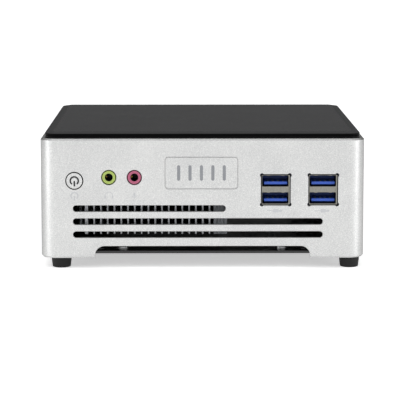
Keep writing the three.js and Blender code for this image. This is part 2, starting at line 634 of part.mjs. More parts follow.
// ---------------------------------------------------------------- rear ports
// The rear ports stand in a group turned to face the back, so here too y = 0 is the mating face
// and the body is behind it.
function makeIoPlate() {
  const lap = ioWidth / 2 + io.lap;
  const plate = box(-lap, lap, plateFront, plateFront + io.plate,
    ioBottom - io.lap, boardTop - seat + 1);
  const holes = rearPorts.map((port) => {
    const [halfX, halfZ] = [port.width / 2 + io.portGap, port.height / 2 + io.portGap];
    const z = boardBottom - portDrop(port);
    return box(-port.x - halfX, -port.x + halfX, plateFront - 1, plateFront + 3,
      z - halfZ, z + halfZ);
  });
  return cut(plate, ...holes);
}

const portBox = ({ width, height, depth }) =>
  box(-width / 2, width / 2, 0, depth, -height / 2, height / 2);
const makePowerInlet = () => join(
  cut(portBox(powerPort), at(rod(powerPort.bore, -1, 10, 20), 0, 0, -1)),
  at(rod(powerPort.pin, 0.6, 11, 12), 0, 0, -1));

// The mouth has its two lower corners cut away.
function makeVideoShell() {
  const { width, height, depth, rim, bevel } = videoPort;
  const [x, z] = [width / 2 - rim, height / 2 - rim];
  const mouth = new THREE.Shape([
    [-x, z], [-x, bevel - z], [bevel - x, -z], [x - bevel, -z], [x, bevel - z], [x, z],
  ].map(([a, b]) => new THREE.Vector2(a, b)));
  return cut(portBox(videoPort), through(mouth, -1, depth - 1));
}
const makeVideoTongue = () => box(-5.6, 5.6, 1, videoPort.depth - 1 - seat, 0, 1.3);

// The mouth steps in twice where the plug's clip goes.
const makeNetworkPort = () => cut(portBox(networkPort),
  box(-5.9, 5.9, -1, 14, -5.4, 2.8),
  box(-3.1, 3.1, -1, 14, 2.7, 4.4),
  box(-1.8, 1.8, -1, 14, 4.3, 5.6));

// A threaded tube through the wall, from a square flange inside
function makeAntennaJack() {
  const flangeFront = antenna.length + body.wall + seat;
  const half = antenna.flange / 2;
  return cut(
    join(
      rod(antenna.radius, 0, flangeFront + 0.2, 20),
      box(-half, half, flangeFront, flangeFront + antenna.flangeDepth, -half, half)),
    rod(antenna.boreRadius, -1, antenna.boreDepth, 16));
}
function makeAntennaNut() {
  const back = antenna.length - seat;
  return cut(rod(antenna.nut / 2, back - antenna.nutDepth, back, 6),
    rod(antenna.radius + slip / 2, 0, antenna.length + 1, 20));
}

// ---------------------------------------------------------------- assembly
const computer = new THREE.Group();

function add(name, geometry, material, place = [0, 0, 0], parent = computer) {
  const mesh = new THREE.Mesh(geometry, material);
  mesh.name = name;
  mesh.position.set(...place);
  parent.add(mesh);
  return mesh;
}

function addCase() {
  add("case_ring", makeShell(), finishes.aluminium);
  add("lid_frame", makeLidFrame(), finishes.lidFrame);
  add("lid_panel", makeLidPanel(), finishes.lidPanel);
  add("bottom_cover", makeCover(), finishes.coverSteel);
  const footShape = makeFoot();
  const screwLength = coverTop + screw.bite - foot.pocketDepth;
  const footScrew = makeScrew(screwLength);
  for (const [where, x, y] of footPlaces) {
    add(`foot_${where}`, footShape, finishes.rubber, [x, y, 0]);
    add(`foot_screw_${where}`, footScrew, finishes.screwSteel,
      [x, y, foot.pocketDepth - seat - screw.headHeight]);
  }
}

function addFrontPorts() {
  const group = new THREE.Group();
  group.position.set(0, frontFace, boardBottom);
  computer.add(group);
  const buttonPlace = [buttonX, -button.proud, -button.drop];
  add("power_button", makeButton(), finishes.aluminium, buttonPlace, group);
  add("switch_plunger", makePlunger(), finishes.portBlack, buttonPlace, group);
  add("power_switch", makeTactSwitch(), finishes.portBlack, buttonPlace, group);
  add("headphone_jack", makeAudioJack(), finishes.jackGreen, [jackX[0], 0, -jack.drop], group);
  add("microphone_jack", makeAudioJack(), finishes.jackPink, [jackX[1], 0, -jack.drop], group);
  add("badge_plate", makeBadge(), finishes.aluminium,
    [(badgeLeft + badgeRight) / 2, 0, -badge.rise], group);
  ["left", "right"].forEach((side, i) => {
    const place = [usbX[i], usb.recess, -usbDrop];
    add(`front_usb_shell_${side}`, makeUsbShell(body.wall + slip - usb.recess),
      finishes.portMetal, place, group);
    add(`front_usb_tongues_${side}`, makeUsbTongues(), finishes.usbBlue, place, group);
  });
}

function addBoard() {
  add("main_board", makeBoard(), finishes.circuitBoard);
  const boardScrew = makeScrew(screw.bite).rotateX(Math.PI);
  const headTop = boardTop + seat + screw.headHeight;
  for (const [where, x, y] of boardPlaces)
    add(`board_screw_${where}`, boardScrew, finishes.screwSteel, [x, y, headTop]);
  for (const [where, x, y] of coolerScrewPlaces)
    add(`heatsink_screw_${where}`, boardScrew, finishes.screwSteel, [x, y, headTop]);
  add("processor", box(-cpu.width / 2, cpu.width / 2, -cpu.depth / 2, cpu.depth / 2, 0,
    cpu.thickness), finishes.chipBlack, [coolerX, blowerY, cpuBottom]);

  const cards = new THREE.Group();
  cards.position.z = boardTop + seat;
  computer.add(cards);
  add("memory_socket", makeMemorySocket(), finishes.socketPlastic, memoryPlace, cards);
  add("memory_module", makeMemoryModule(), finishes.circuitBoard, memoryPlace, cards);
  const latch = makeLatch();
  for (const [side, sign] of [["left", -1], ["right", 1]]) {
    const [x, y] = memoryPlace;
    const mesh = add(`memory_latch_${side}`, latch, finishes.screwSteel,
      [x + sign * memory.socketWidth / 2, y + memory.socketDepth + 1, 0], cards);
    mesh.scale.x = sign;
  }
  add("drive_socket", makeDriveSocket(), finishes.socketPlastic, drivePlace, cards);
  add("drive_card", makeDriveCard(), finishes.circuitBoard, drivePlace, cards);
  const [driveX, driveY] = drivePlace;
  add("drive_card_screw", makeDriveScrew(), finishes.screwSteel,
    [driveX, driveY + driveScrewY, 0], cards);
  add("coin_cell_holder", makeCellHolder(), finishes.socketPlastic, cellPlace, cards);
  add("coin_cell", makeCell(), finishes.screwSteel, cellPlace, cards);
  add("radio_module", makeRadio(), finishes.portMetal, radioPlace, cards);
}

function addCooler() {
  add("heatsink", makeHeatsink(), finishes.finMetal);
  const group = new THREE.Group();
  group.position.set(coolerX, blowerY, 0);
  computer.add(group);
  add("blower_housing", makeBlowerHousing(), finishes.fanPlastic, [0, 0, 0], group);
  add("blower_cover", makeBlowerCover(), finishes.fanPlastic, [0, 0, 0], group);
  add("impeller", makeImpeller(), finishes.fanPlastic, [0, 0, 0], group);
  add("impeller_shaft", makeShaft(), finishes.screwSteel, [0, 0, 0], group);
  add("shaft_bearing", makeBearing(), finishes.brass, [0, 0, 0], group);
  add("motor_stator", makeStator(), finishes.copper, [0, 0, 0], group);
}

function addRearPorts() {
  add("rear_plate", makeIoPlate(), finishes.coverSteel);
  const ports = new THREE.Group();
  ports.position.set(0, rearFace - io.recess, boardBottom);
  ports.rotation.z = Math.PI;
  computer.add(ports);
  add("power_inlet", makePowerInlet(), finishes.portBlack, portPlace(powerPort), ports);
  add("video_shell", makeVideoShell(), finishes.portMetal, portPlace(videoPort), ports);
  add("video_tongue", makeVideoTongue(), finishes.portBlack, portPlace(videoPort), ports);
  add("network_port", makeNetworkPort(), finishes.portMetal, portPlace(networkPort), ports);
  const bodyStart = body.wall + io.plate + slip - io.recess;
  for (const [where, port] of Object.entries(rearUsb)) {
    const place = portPlace(port);
    add(`rear_usb_shell_${where}`, makeUsbShell(bodyStart), finishes.portMetal, place, ports);
    add(`rear_usb_tongues_${where}`, makeUsbTongues(), finishes.portBlack, place, ports);
  }

  const antennas = new THREE.Group();
  antennas.position.set(0, rearFace + antenna.length, antennaZ);
  antennas.rotation.z = Math.PI;
  computer.add(antennas);
  for (const [side, sign] of [["left", 1], ["right", -1]]) {
    const place = [sign * antennaX, 0, 0];
    add(`antenna_jack_${side}`, makeAntennaJack(), finishes.brass, place, antennas);
    add(`antenna_nut_${side}`, makeAntennaNut(), finishes.brass, place, antennas);
  }
}

addCase();
addFrontPorts();
addBoard();
addCooler();
addRearPorts();

// The whole object reaches further back than forwards, so its middle is behind the ring's.
computer.position.y = (button.proud - antenna.length) / 2;

export default computer;
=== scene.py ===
import math

import bmesh
import bpy
from mathutils import Matrix, Vector


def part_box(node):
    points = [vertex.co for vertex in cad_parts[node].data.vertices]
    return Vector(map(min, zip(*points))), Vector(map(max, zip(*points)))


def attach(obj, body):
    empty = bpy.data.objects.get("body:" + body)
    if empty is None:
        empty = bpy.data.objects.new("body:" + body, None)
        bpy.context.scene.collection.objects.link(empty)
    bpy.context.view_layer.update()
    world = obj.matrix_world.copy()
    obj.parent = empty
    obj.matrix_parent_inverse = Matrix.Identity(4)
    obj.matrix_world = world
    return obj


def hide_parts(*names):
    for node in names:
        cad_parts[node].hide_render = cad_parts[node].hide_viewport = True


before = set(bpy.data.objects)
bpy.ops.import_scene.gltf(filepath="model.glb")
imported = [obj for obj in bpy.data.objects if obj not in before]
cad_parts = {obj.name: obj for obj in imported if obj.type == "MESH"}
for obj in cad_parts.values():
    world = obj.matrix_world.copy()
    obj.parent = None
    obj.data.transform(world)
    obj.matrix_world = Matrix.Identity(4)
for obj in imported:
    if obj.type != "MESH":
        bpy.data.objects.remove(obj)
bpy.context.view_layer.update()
print("frame loaded,", len(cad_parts), "nodes")

mm = 0.001  # sizes below are in millimetres
scene = bpy.context.scene


# Node graphs, for materials and for shapes

class Wire:
    # one socket of a graph; arithmetic on it adds Math nodes
    def __init__(self, graph, socket):
        self.graph = graph
        self.socket = socket

    def calculate(self, operation, first, second):
        return self.graph.node("ShaderNodeMath", {"operation": operation}, {0: first, 1: second})

    def __add__(self, other):
        return self.calculate("ADD", self, other)

    def __radd__(self, other):
        return self.calculate("ADD", other, self)

    def __sub__(self, other):
        return self.calculate("SUBTRACT", self, other)

    def __rsub__(self, other):
        return self.calculate("SUBTRACT", other, self)

    def __mul__(self, other):
        return self.calculate("MULTIPLY", self, other)

    def __rmul__(self, other):
        return self.calculate("MULTIPLY", other, self)

    def __truediv__(self, other):
        return self.calculate("DIVIDE", self, other)

    def __gt__(self, other):
        return self.calculate("GREATER_THAN", self, other)

    def __lt__(self, other):
        return self.calculate("LESS_THAN", self, other)


class Graph:
    # one node tree
    def __init__(self, tree):
        self.tree = tree

    def node(self, kind, settings=None, inputs=None, output=0):
        made = self.tree.nodes.new(kind)
        for name, value in (settings or {}).items():
            if name == "stops":
                self.setStops(made.color_ramp, value)
            else:
                setattr(made, name, value)
        for name, value in (inputs or {}).items():
            self.feed(self.find(made.inputs, name), value)
        return None if output is None else Wire(self, self.find(made.outputs, output))

    def setStops(self, ramp, stops):
        while len(ramp.elements) < len(stops):
            ramp.elements.new(1.0)
        for element, (place, colour) in zip(ramp.elements, stops):
            element.position = place
            element.color = colour

    def find(self, sockets, name):
        if isinstance(name, int):
            return sockets[name]
        return next(s for s in sockets if s.name == name and s.enabled)

    def feed(self, socket, value):
        for item in value if isinstance(value, list) else [value]:
            if isinstance(item, Wire):
                self.tree.links.new(item.socket, socket)
            else:
                socket.default_value = item

    def mix(self, factor, first, second):
        return self.node("ShaderNodeMix", {"data_type": "RGBA"},
                         {"Factor": factor, "A": first, "B": second}, "Result")


class ShapeGraph(Graph):
    # a geometry tree whose named inputs are the sizes of a piece
    kinds = {float: "NodeSocketFloat", int: "NodeSocketInt", bpy.types.Object: "NodeSocketObject",
             bpy.types.Material: "NodeSocketMaterial"}

    def __init__(self, name, inputs):
        super().__init__(bpy.data.node_groups.new(name, "GeometryNodeTree"))
        face = self.tree.interface
        face.new_socket("Geometry", in_out="OUTPUT", socket_type="NodeSocketGeometry")
        self.values = {}
        self.sizes = {}
        for label, value in inputs.items():
            item = face.new_socket(label, in_out="INPUT", socket_type=self.kinds[type(value)])
            self.values[item.identifier] = value
            self.sizes[label] = item.identifier
        self.entry = self.tree.nodes.new("NodeGroupInput")

    def __getitem__(self, label):
        wanted = self.sizes[label]
        return Wire(self, next(s for s in self.entry.outputs if s.identifier == wanted))

    def shape(self, kind, settings=None, inputs=None, output=0):
        return self.node("GeometryNode" + kind, settings, inputs, output)

    def combine(self, x=0.0, y=0.0, z=0.0):
        return self.node("ShaderNodeCombineXYZ", {}, {"X": x, "Y": y, "Z": z})

    def object(self, label):
        return self.shape("ObjectInfo", {}, {"Object": self[label]}, "Geometry")

    def moved(self, geometry, place):
        return self.shape("Transform", {}, {"Geometry": geometry, "Translation": place})

    def copies(self, points, source, turn=None):
        inputs = {"Points": points, "Instance": source}
        if turn:
            inputs["Rotation"] = self.combine(z=turn)
        return self.shape("InstanceOnPoints", {}, inputs)

    def roundedCurve(self, width, height, radius, count):
        curve = self.shape("CurvePrimitiveQuadrilateral", {"mode": "RECTANGLE"},
                           {"Width": width, "Height": height})
        return self.shape("FilletCurve", {"mode": "POLY"},
                          {"Curve": curve, "Radius": radius, "Count": count})

    def finish(self, geometry, base=None):
        # realize, set the material, join the base and return the plain mesh that the tree makes
        geometry = self.shape("RealizeInstances", {}, {"Geometry": geometry})
        geometry = self.shape("SetMaterial", {},
                              {"Geometry": geometry, "Material": self["Material"]})
        if base:
            geometry = self.shape("JoinGeometry", {}, {"Geometry": [base, geometry]})
        self.node("NodeGroupOutput", {}, {0: geometry}, None)
        holder = bpy.data.objects.new("draft", bpy.data.meshes.new("draft"))
        scene.collection.objects.link(holder)
        modifier = holder.modifiers.new("shape", "NODES")
        modifier.node_group = self.tree
        for identifier, value in self.values.items():
            modifier[identifier] = value
        graph = bpy.context.evaluated_depsgraph_get()
        mesh = bpy.data.meshes.new_from_object(holder.evaluated_get(graph))
        holder.modifiers.remove(modifier)
        bpy.data.objects.remove(holder)
        return mesh


# Places and outlines

def span(node):
    low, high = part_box(node)
    return low / mm, high / mm


def middle(node):
    low, high = span(node)
    return (low + high) / 2


def rectangle(width, height, radius, steps=5, x=0.0, y=0.0):
    # an outline that can be grown by a width all round
    def outline(grow=0.0):
        bend = max(radius + grow, 0.01)
        points = []
        for quarter in range(4):
            toX = (width / 2 + grow - bend) * (1 if quarter in (0, 3) else -1)
            toY = (height / 2 + grow - bend) * (1 if quarter in (0, 1) else -1)
            for step in range(steps + 1):
                angle = math.radians(90 * (quarter + step / steps))
                points.append((x + toX + bend * math.cos(angle),
                               y + toY + bend * math.sin(angle)))
        return points
    return outline


def circle(radius, sides=32, x=0.0, y=0.0):
    def outline(grow=0.0):
        turns = [2 * math.pi * i / sides for i in range(sides)]
        return [(x + (radius + grow) * math.cos(a), y + (radius + grow) * math.sin(a))
                for a in turns]
    return outline


def relieved(width, height, relief, inset, steps=8):
    # a rectangle with a round relief at each corner
    def outline(grow=0.0):
        points = []
        radius = relief + grow
        reach = math.acos((inset + grow) / radius)
        for quarter in range(4):
            toX = (width / 2 - inset) * (1 if quarter in (0, 3) else -1)
            toY = (height / 2 - inset) * (1 if quarter in (0, 1) else -1)
            for step in range(steps + 1):
                angle = math.pi / 2 * (quarter + step / steps) + reach * (2 * step / steps - 1)
                points.append((toX + radius * math.cos(angle), toY + radius * math.sin(angle)))
        return points
    return outline


def polygon(*corners):
    # corners run anticlockwise
    def outline(grow=0.0):
        points = []
        for i, corner in enumerate(corners):
            here = Vector(corner)
            before = (here - Vector(corners[i - 1])).normalized()
            after = (Vector(corners[(i + 1) % len(corners)]) - here).normalized()
            out = Vector((before.y, -before.x)) + Vector((after.y, -after.x))
            out = out * (grow / (1 + before.dot(after)))
            points.append(tuple(here + out))
        return points
    return outline


def eased(low, high, first, last=None):
    # steps of [grow, z] from low to high, with the edge at each end cut back
    last = first if last is None else last
    return [(-first, low), (0, low + first), (0, high - last), (-last, high)]


def bored(depth, edge):
    # the steps of a hole from the face at 0 to that depth, widened at both ends
    return [(edge, 0), (0, -edge), (0, edge - depth), (edge, -depth)]


def arc(x, y, radius, start, end, steps=6):
    turns = [math.radians(start + (end - start) * i / steps) for i in range(steps + 1)]
    return [(x + radius * math.cos(a), y + radius * math.sin(a)) for a in turns]


def hexagon(radius):
    return polygon(*arc(0, 0, radius, 0, 300, 5))


def cross(reach, half):
    return polygon((half, half), (half, reach), (-half, reach), (-half, half), (-reach, half),
                   (-reach, -half), (-half, -half), (-half, -reach), (half, -reach),
                   (half, -half), (reach, -half), (reach, half))


def turnedTo(x, y, z, side="top"):
    # a place whose own z points out of that side of the computer
    turn = {"top": Matrix(), "bottom": Matrix.Rotation(math.pi, 4, "X"),
            "front": Matrix.Rotation(math.pi / 2, 4, "X"),
            "rear": Matrix.Rotation(math.pi, 4, "Z") @ Matrix.Rotation(math.pi / 2, 4, "X"),
            "right": Matrix.Rotation(math.pi / 2, 4, "Z") @ Matrix.Rotation(math.pi / 2, 4, "X")}
    return Matrix.Translation((x, y, z)) @ turn[side]


def standingAt(point):
    # a place over that point of the plan, at the frame's own heights
    return Matrix.Translation((point.x, point.y, 0))


class Shape:
    # a mesh being built, in millimetres
    def __init__(self, at=None):
        self.mesh = bmesh.new()
        self.at = at or Matrix()

    def rings(self, outline, steps):
        # one ring of corners for each step: [grow, z], or [grow, z, another outline]
        return [[self.mesh.verts.new(self.at @ Vector((x, y, step[1])))
                 for x, y in (step[2] if len(step) > 2 else outline)(step[0])]
                for step in steps]

    def skin(self, loops, slot=0):
        for lower, upper in zip(loops, loops[1:]):
            for i in range(len(lower)):
                j = (i + 1) % len(lower)
                self.face((lower[i], lower[j], upper[j], upper[i]), slot)

    def face(self, corners, slot=0):
        self.mesh.faces.new(corners).material_index = slot

    def loft(self, outline, steps, slot=0, endSlot=None):
        # a closed solid through the outline at each [grow, z], from back to front
        loops = self.rings(outline, steps)
        self.skin(loops, slot)
        self.face(loops[0][::-1], slot)
        self.face(loops[-1], slot if endSlot is None else endSlot)

    def tube(self, outline, steps, slot=0):
        # a solid of revolution or frame with a hole: the last step joins the first
        loops = self.rings(outline, steps)
        self.skin(loops + [loops[0]], slot)

    def pierced(self, outline, steps, holes, slot=0):
        # the same solid as a loft, with holes: [outline, steps from front to back, slot, blind]
        loops = self.rings(outline, steps)
        self.skin(loops, slot)
        back, front = [loops[0]], [loops[-1]]
        for holeOutline, holeSteps, holeSlot, blind in holes:
            walls = self.rings(holeOutline, holeSteps)
            self.skin([wall[::-1] for wall in walls], holeSlot)
            front.append(walls[0])
            if blind:
                self.face(walls[-1], holeSlot)
            else:
                back.append(walls[-1])
        self.fill(front, slot)
        self.fill(back, slot)

    def fill(self, loops, slot=0):
        edges = [self.mesh.edges.get((loop[i - 1], loop[i])) for loop in loops
                 for i in range(len(loop))]
        made = bmesh.ops.triangle_fill(self.mesh, edges=edges, use_beauty=True)
        for item in made["geom"]:
            if isinstance(item, bmesh.types.BMFace):
                item.material_index = slot

    def block(self, x, y, z, edge=0.15, slot=0, steps=1):
        # a box from low to high along each axis, with rounded edges
        outline = rectangle(x[1] - x[0], y[1] - y[0], edge, steps, sum(x) / 2, sum(y) / 2)
        self.loft(outline, eased(*z, edge), slot)

    def sweep(self, outline, points, slot=0):
        # a wire whose section is the outline, along points in this shape's own axes
        loops = []
        for i, point in enumerate(points):
            along = Vector(points[min(i + 1, len(points) - 1)]) - Vector(points[max(i - 1, 0)])
            turn = along.to_track_quat("Z", "Y")
            loops.append([self.mesh.verts.new(self.at @ (Vector(point) + turn @ Vector((*p, 0))))
                          for p in outline()])
        self.skin(loops, slot)
        self.face(loops[0][::-1], slot)
        self.face(loops[-1], slot)

    def made(self, name="part", materials=()):
        bmesh.ops.recalc_face_normals(self.mesh, faces=self.mesh.faces)
        mesh = bpy.data.meshes.new(name)
        self.mesh.to_mesh(mesh)
        self.mesh.free()
        for material in materials:
            mesh.materials.append(material)
        return mesh

    def source(self, name="part", materials=()):
        # an object for a geometry tree to read
        return bpy.data.objects.new(name, self.made(name, materials))


def addPiece(name, mesh, body, stands, smooth=35, weighted=True):
    # the finished mesh, in metres and at the origin, rides on its body and stands for its nodes
    mesh.name = name
    mesh.transform(Matrix.Scale(mm, 4))
    mesh.polygons.foreach_set("use_smooth", [True] * len(mesh.polygons))
    mesh.set_sharp_from_angle(angle=math.radians(smooth))
    piece = bpy.data.objects.new(name, mesh)
    scene.collection.objects.link(piece)
    if weighted:
        modifier = piece.modifiers.new("evenShading", "WEIGHTED_NORMAL")
        modifier.keep_sharp = True
    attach(piece, body)
    if stands:
        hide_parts(*stands)
    return piece


def placesObject(points):
    # bare points for a geometry tree to put copies on
    mesh = bpy.data.meshes.new("places")
    mesh.from_pydata([tuple(p) for p in points], [], [])
    return bpy.data.objects.new("places", mesh)


def repeated(name, source, points, material, base=None, spin=0.0, seed=1):
    # copies of one source at the points, beside a base that is there once; spin turns each copy
    # by a random angle about its own height
    inputs = {"Source": source, "Places": placesObject(points), "Material": material,
              "Spin": spin, "Seed": seed}
    if base:
        inputs["Base"] = base
    tree = ShapeGraph(name, inputs)
    turn = tree.node("FunctionNodeRandomValue", {"data_type": "FLOAT"},
                     {"Min": 0.0, "Max": tree["Spin"], "Seed": tree["Seed"]}, "Value")
    copies = tree.copies(tree.object("Places"), tree.object("Source"), turn)
    return tree.finish(copies, tree.object("Base") if base else None)


# Finishes

def tone(code):
    # a colour from its six hexadecimal digits
    parts = [int(code[i:i + 2], 16) / 255 for i in (0, 2, 4)]
    return (*[p / 12.92 if p <= 0.04045 else ((p + 0.055) / 1.055) ** 2.4 for p in parts], 1.0)


def grain(graph, size, detail=2.0, stretch=None):
    place = graph.node("ShaderNodeTexCoord", output="Object")
    if stretch:
        place = graph.node("ShaderNodeMapping", {}, {"Vector": place, "Scale": stretch})
    return graph.node("ShaderNodeTexNoise", {},
                      {"Vector": place, "Scale": 1 / (size * mm), "Detail": detail}, "Fac")


def bumped(graph, height, depth):
    return graph.node("ShaderNodeBump", {}, {"Distance": depth * mm, "Height": height})


def makeFinish(name, fixed, varied):
    # fixed values go on the shader's own sockets, and what varies is wired to it
    material = bpy.data.materials.new(name)
    material.use_nodes = True
    graph = Graph(material.node_tree)
    surface = graph.tree.nodes["Principled BSDF"]
    for label, value in fixed.items():
        surface.inputs[label].default_value = value
    for label, wire in varied(graph).items():
        graph.feed(surface.inputs[label], wire)
    material.diffuse_color = fixed.get("Base Color", (0.5, 0.5, 0.5, 1.0))
    return material


def grained(dark, light, size, rough, depth, stretch=None):
    # fine grain in colour and height, and a broad drift in roughness
    def varied(graph):
        fine = grain(graph, size, 3.0, stretch)
        broad = grain(graph, size * 60)
        spread = fine * 1.6 - 0.3
        return {"Base Color": graph.mix(spread, tone(dark), tone(light)),
                "Roughness": rough[0] + (rough[1] - rough[0]) * (broad * 0.7 + fine * 0.3),
                "Normal": bumped(graph, fine, depth)}
    return varied


def blasted(graph):
    # bead-blasted aluminium: bright and dark specks on a slow drift of tone
    fine = grain(graph, 0.22, 2.0)
    speck = graph.node("ShaderNodeTexVoronoi", {},
                       {"Vector": graph.node("ShaderNodeTexCoord", output="Object"),
                        "Scale": 1 / (0.42 * mm)}, "Distance")
    broad = grain(graph, 18.0)
    spread = fine * 1.5 + speck * 0.6 + broad * 0.3 - 0.75
    return {"Base Color": graph.mix(spread, tone("a9aaab"), tone("dfdfdd")),
            "Roughness": 0.36 + fine * 0.16,
            "Normal": bumped(graph, fine + speck * 0.6, 0.012)}


def glossLid(graph):
    # polished black acrylic with the faintest dust and a slow change in polish
    dust = grain(graph, 0.5, 1.0)
    haze = grain(graph, 22.0, 3.0)
    mask = dust > 0.72
    return {"Base Color": graph.mix(mask * 0.5, tone("29292b"), tone("3a3a3c")),
            "Roughness": 0.14 + haze * 0.08 + mask * 0.15}


def satinBorder(graph):
    haze = grain(graph, 6.0, 3.0)
    return {"Base Color": graph.mix(haze, tone("202022"), tone("2b2b2d")),
            "Roughness": 0.34 + haze * 0.08,
            "Normal": bumped(graph, grain(graph, 0.3), 0.002)}


def circuit(graph):
    # solder mask over rectangular copper runs, with tinned holes
    place = graph.node("ShaderNodeTexCoord", output="Object")
    runs = graph.node("ShaderNodeTexBrick", {"offset": 0.37, "squash": 1.6, "squash_frequency": 3},
                      {"Vector": place, "Scale": 260.0, "Mortar Size": 0.09, "Brick Width": 0.9,
                       "Row Height": 0.3}, "Fac")
    holes = graph.node("ShaderNodeTexVoronoi", {}, {"Vector": place, "Scale": 420.0}, "Distance")
    via = holes < 0.13
    mask = graph.mix(runs, tone("0d2b1b"), tone("1a4a2e"))
    return {"Base Color": graph.mix(via, mask, tone("b89a4c")),
            "Metallic": via * 0.8,
            "Roughness": 0.34 + grain(graph, 0.3) * 0.16,
            "Normal": bumped(graph, runs * 0.6 + via, 0.03)}


def wound(graph):
    # enamelled wire laid in turns about the motor's axis
    place = graph.node("ShaderNodeTexCoord", output="Object")
    turns = graph.node("ShaderNodeTexWave", {"bands_direction": "Z"},
                       {"Vector": place, "Scale": 900.0, "Distortion": 0.6}, "Fac")
    return {"Base Color": graph.mix(turns, tone("5c2a12"), tone("c4703a")),
            "Roughness": 0.28 + turns * 0.2,
            "Normal": bumped(graph, turns, 0.05)}


metal = {"Metallic": 1.0}
plastic = {"Specular IOR Level": 0.4}
finishes = {
    "aluminium": ({"Metallic": 1.0, "Specular Tint": (0.45, 0.45, 0.45, 1.0)}, blasted),
    "lidGloss": ({"Specular IOR Level": 0.3}, glossLid),
    "lidBorder": ({"Specular IOR Level": 0.5}, satinBorder),
    "lidEdge": ({"Specular IOR Level": 0.04},
                grained("020202", "060607", 0.4, (0.3, 0.4), 0.002)),
    "lidBlack": ({"Specular IOR Level": 0.08},
                 grained("040405", "0c0c0d", 0.25, (0.38, 0.5), 0.006)),
    "blackSteel": ({"Specular IOR Level": 0.5},
                   grained("08080a", "18181a", 0.18, (0.26, 0.4), 0.006)),
    "rubber": ({"Specular IOR Level": 0.3}, grained("060606", "161616", 0.3, (0.55, 0.72), 0.02)),
    "zinc": (metal, grained("84878a", "b6b9bb", 0.15, (0.24, 0.4), 0.004)),
    "portMetal": (metal, grained("706f68", "96948c", 0.2, (0.24, 0.4), 0.004, (1, 1, 0.15))),
    # painted shade: the front ports' blue plastic inside, darkened to near-black navy as it looks in
    # shade, also laid on the shell walls
    "navyPortShade": (plastic, grained("05061c", "0b0e38", 0.3, (0.5, 0.65), 0.008)),
    # real black plastic in the network and video ports, and painted shade on the walls and step of the
    # rear USB shells
    "blackPlasticAndShade": (plastic, grained("050506", "0e0e10", 0.3, (0.5, 0.65), 0.008)),
    "blueTongue": (plastic, grained("1c3c94", "2f55ac", 0.3, (0.35, 0.5), 0.006)),
    "blackTongue": (plastic, grained("0b0b0c", "1a1a1b", 0.3, (0.4, 0.55), 0.006)),
    "portBlack": (plastic, grained("0a0a0a", "1c1c1c", 0.25, (0.4, 0.58), 0.01)),
    "gold": (metal, grained("c79a3e", "ecc568", 0.12, (0.18, 0.3), 0.002)),
    "jackGreen": (plastic, grained("8c9d4c", "a0b160", 0.3, (0.35, 0.5), 0.008)),
    "jackPink": (plastic, grained("944860", "a85a74", 0.3, (0.35, 0.5), 0.008)),
    "greyInk": (plastic, grained("a2a3a5", "b2b3b5", 0.2, (0.6, 0.75), 0.003)),
    "darkInk": (plastic, grained("131315", "202022", 0.2, (0.5, 0.65), 0.003)),
    "engraved": ({"Metallic": 0.6}, grained("74767a", "8f9194", 0.2, (0.45, 0.6), 0.006)),
    "circuitBoard": (plastic, circuit),
    "chipBlack": (plastic, grained("0e0e10", "222225", 0.12, (0.4, 0.55), 0.006)),
    "chipGrey": ({"Metallic": 0.3}, grained("8a8d92", "a7abb0", 0.15, (0.3, 0.45), 0.003)),
    "ceramic": (plastic, grained("8d7456", "b39a78", 0.2, (0.45, 0.6), 0.004)),
    "finMetal": ({"Metallic": 0.9},
                 grained("9a9c9f", "c6c8cb", 0.2, (0.32, 0.48), 0.004, (1, 1, 0.2))),
    "castMetal": ({"Metallic": 0.5},
                  grained("5e6063", "8c8f92", 0.3, (0.42, 0.58), 0.01, (1, 1, 0.15))),
    "fanPlastic": (plastic, grained("0c0c0e", "1c1c1f", 0.22, (0.36, 0.5), 0.008)),
    "brass": (metal, grained("a8843c", "d6b062", 0.15, (0.2, 0.34), 0.003)),
    "winding": ({"Metallic": 0.8}, wound),
    "socketPlastic": (plastic, grained("211d19", "383129", 0.25, (0.45, 0.6), 0.01)),
    "ivory": (plastic, grained("d9d6cb", "efece2", 0.25, (0.4, 0.55), 0.006)),
    "cellSteel": (metal, grained("b4b5b6", "dcddde", 0.3, (0.22, 0.34), 0.003, (1, 0.1, 1))),
    "ledGreen": (plastic, grained("6fae4e", "8cc968", 0.4, (0.25, 0.35), 0.004)),
    "ledAmber": (plastic, grained("c98a2c", "e0a648", 0.4, (0.25, 0.35), 0.004)),
}
looks = {name: makeFinish(name, fixed, varied) for name, (fixed, varied) in finishes.items()}
print("finishes made:", len(looks))


# Case ring: one band of aluminium with vents, port openings and the arch under its front

ring = {"wall": 2.0, "corner": 7.5, "chamfer": 0.8, "cornerSteps": 16, "mouth": 0.28,
        "ventHeight": 3.0, "ventPitch": 6.25, "ventLeft": -61.5, "ventRight": 57.1,
        "shortRight": 10.95, "firstVent": 16.8, "frontRows": 2, "rearRows": 2, "rearVent": 50.0,
        "archHalf": 51.2, "archTop": 11.25, "archCorner": 4.6, "portGap": 0.12,
        "relief": 0.95, "reliefInset": 0.5,
        "badgeGap": 0.34, "badgeCorner": 1.7, "badgeDepth": 0.6, "rearHalf": 61.0,
        "rearBottom": 29.2, "rearTop": 48.3, "buttonHole": 4.27, "jackHole": 3.6,
        "jackHeight": 44.15, "antennaHole": 3.35, "usbFace": (13.9, 14.7), "usbHeight": 38.2,
        "bossSize": 8.0, "bossHeight": 10.0, "bossCorner": 4.5, "boardBossHeight": 7.0,
        "boardBossCorner": 0.8, "screwHole": 1.8, "clearance": 0.1, "past": 1.0}


def mouth(depth, flare, count=3):
    # steps of a cutter whose mouth is rounded over at the wall's outer face
    turns = [math.pi / 2 * i / count for i in range(count + 1)]
    rounded = [(flare * (1 - math.cos(a)), -flare * (1 - math.sin(a))) for a in turns]
    return [(0, -depth), *rounded, (flare, ring["past"])]


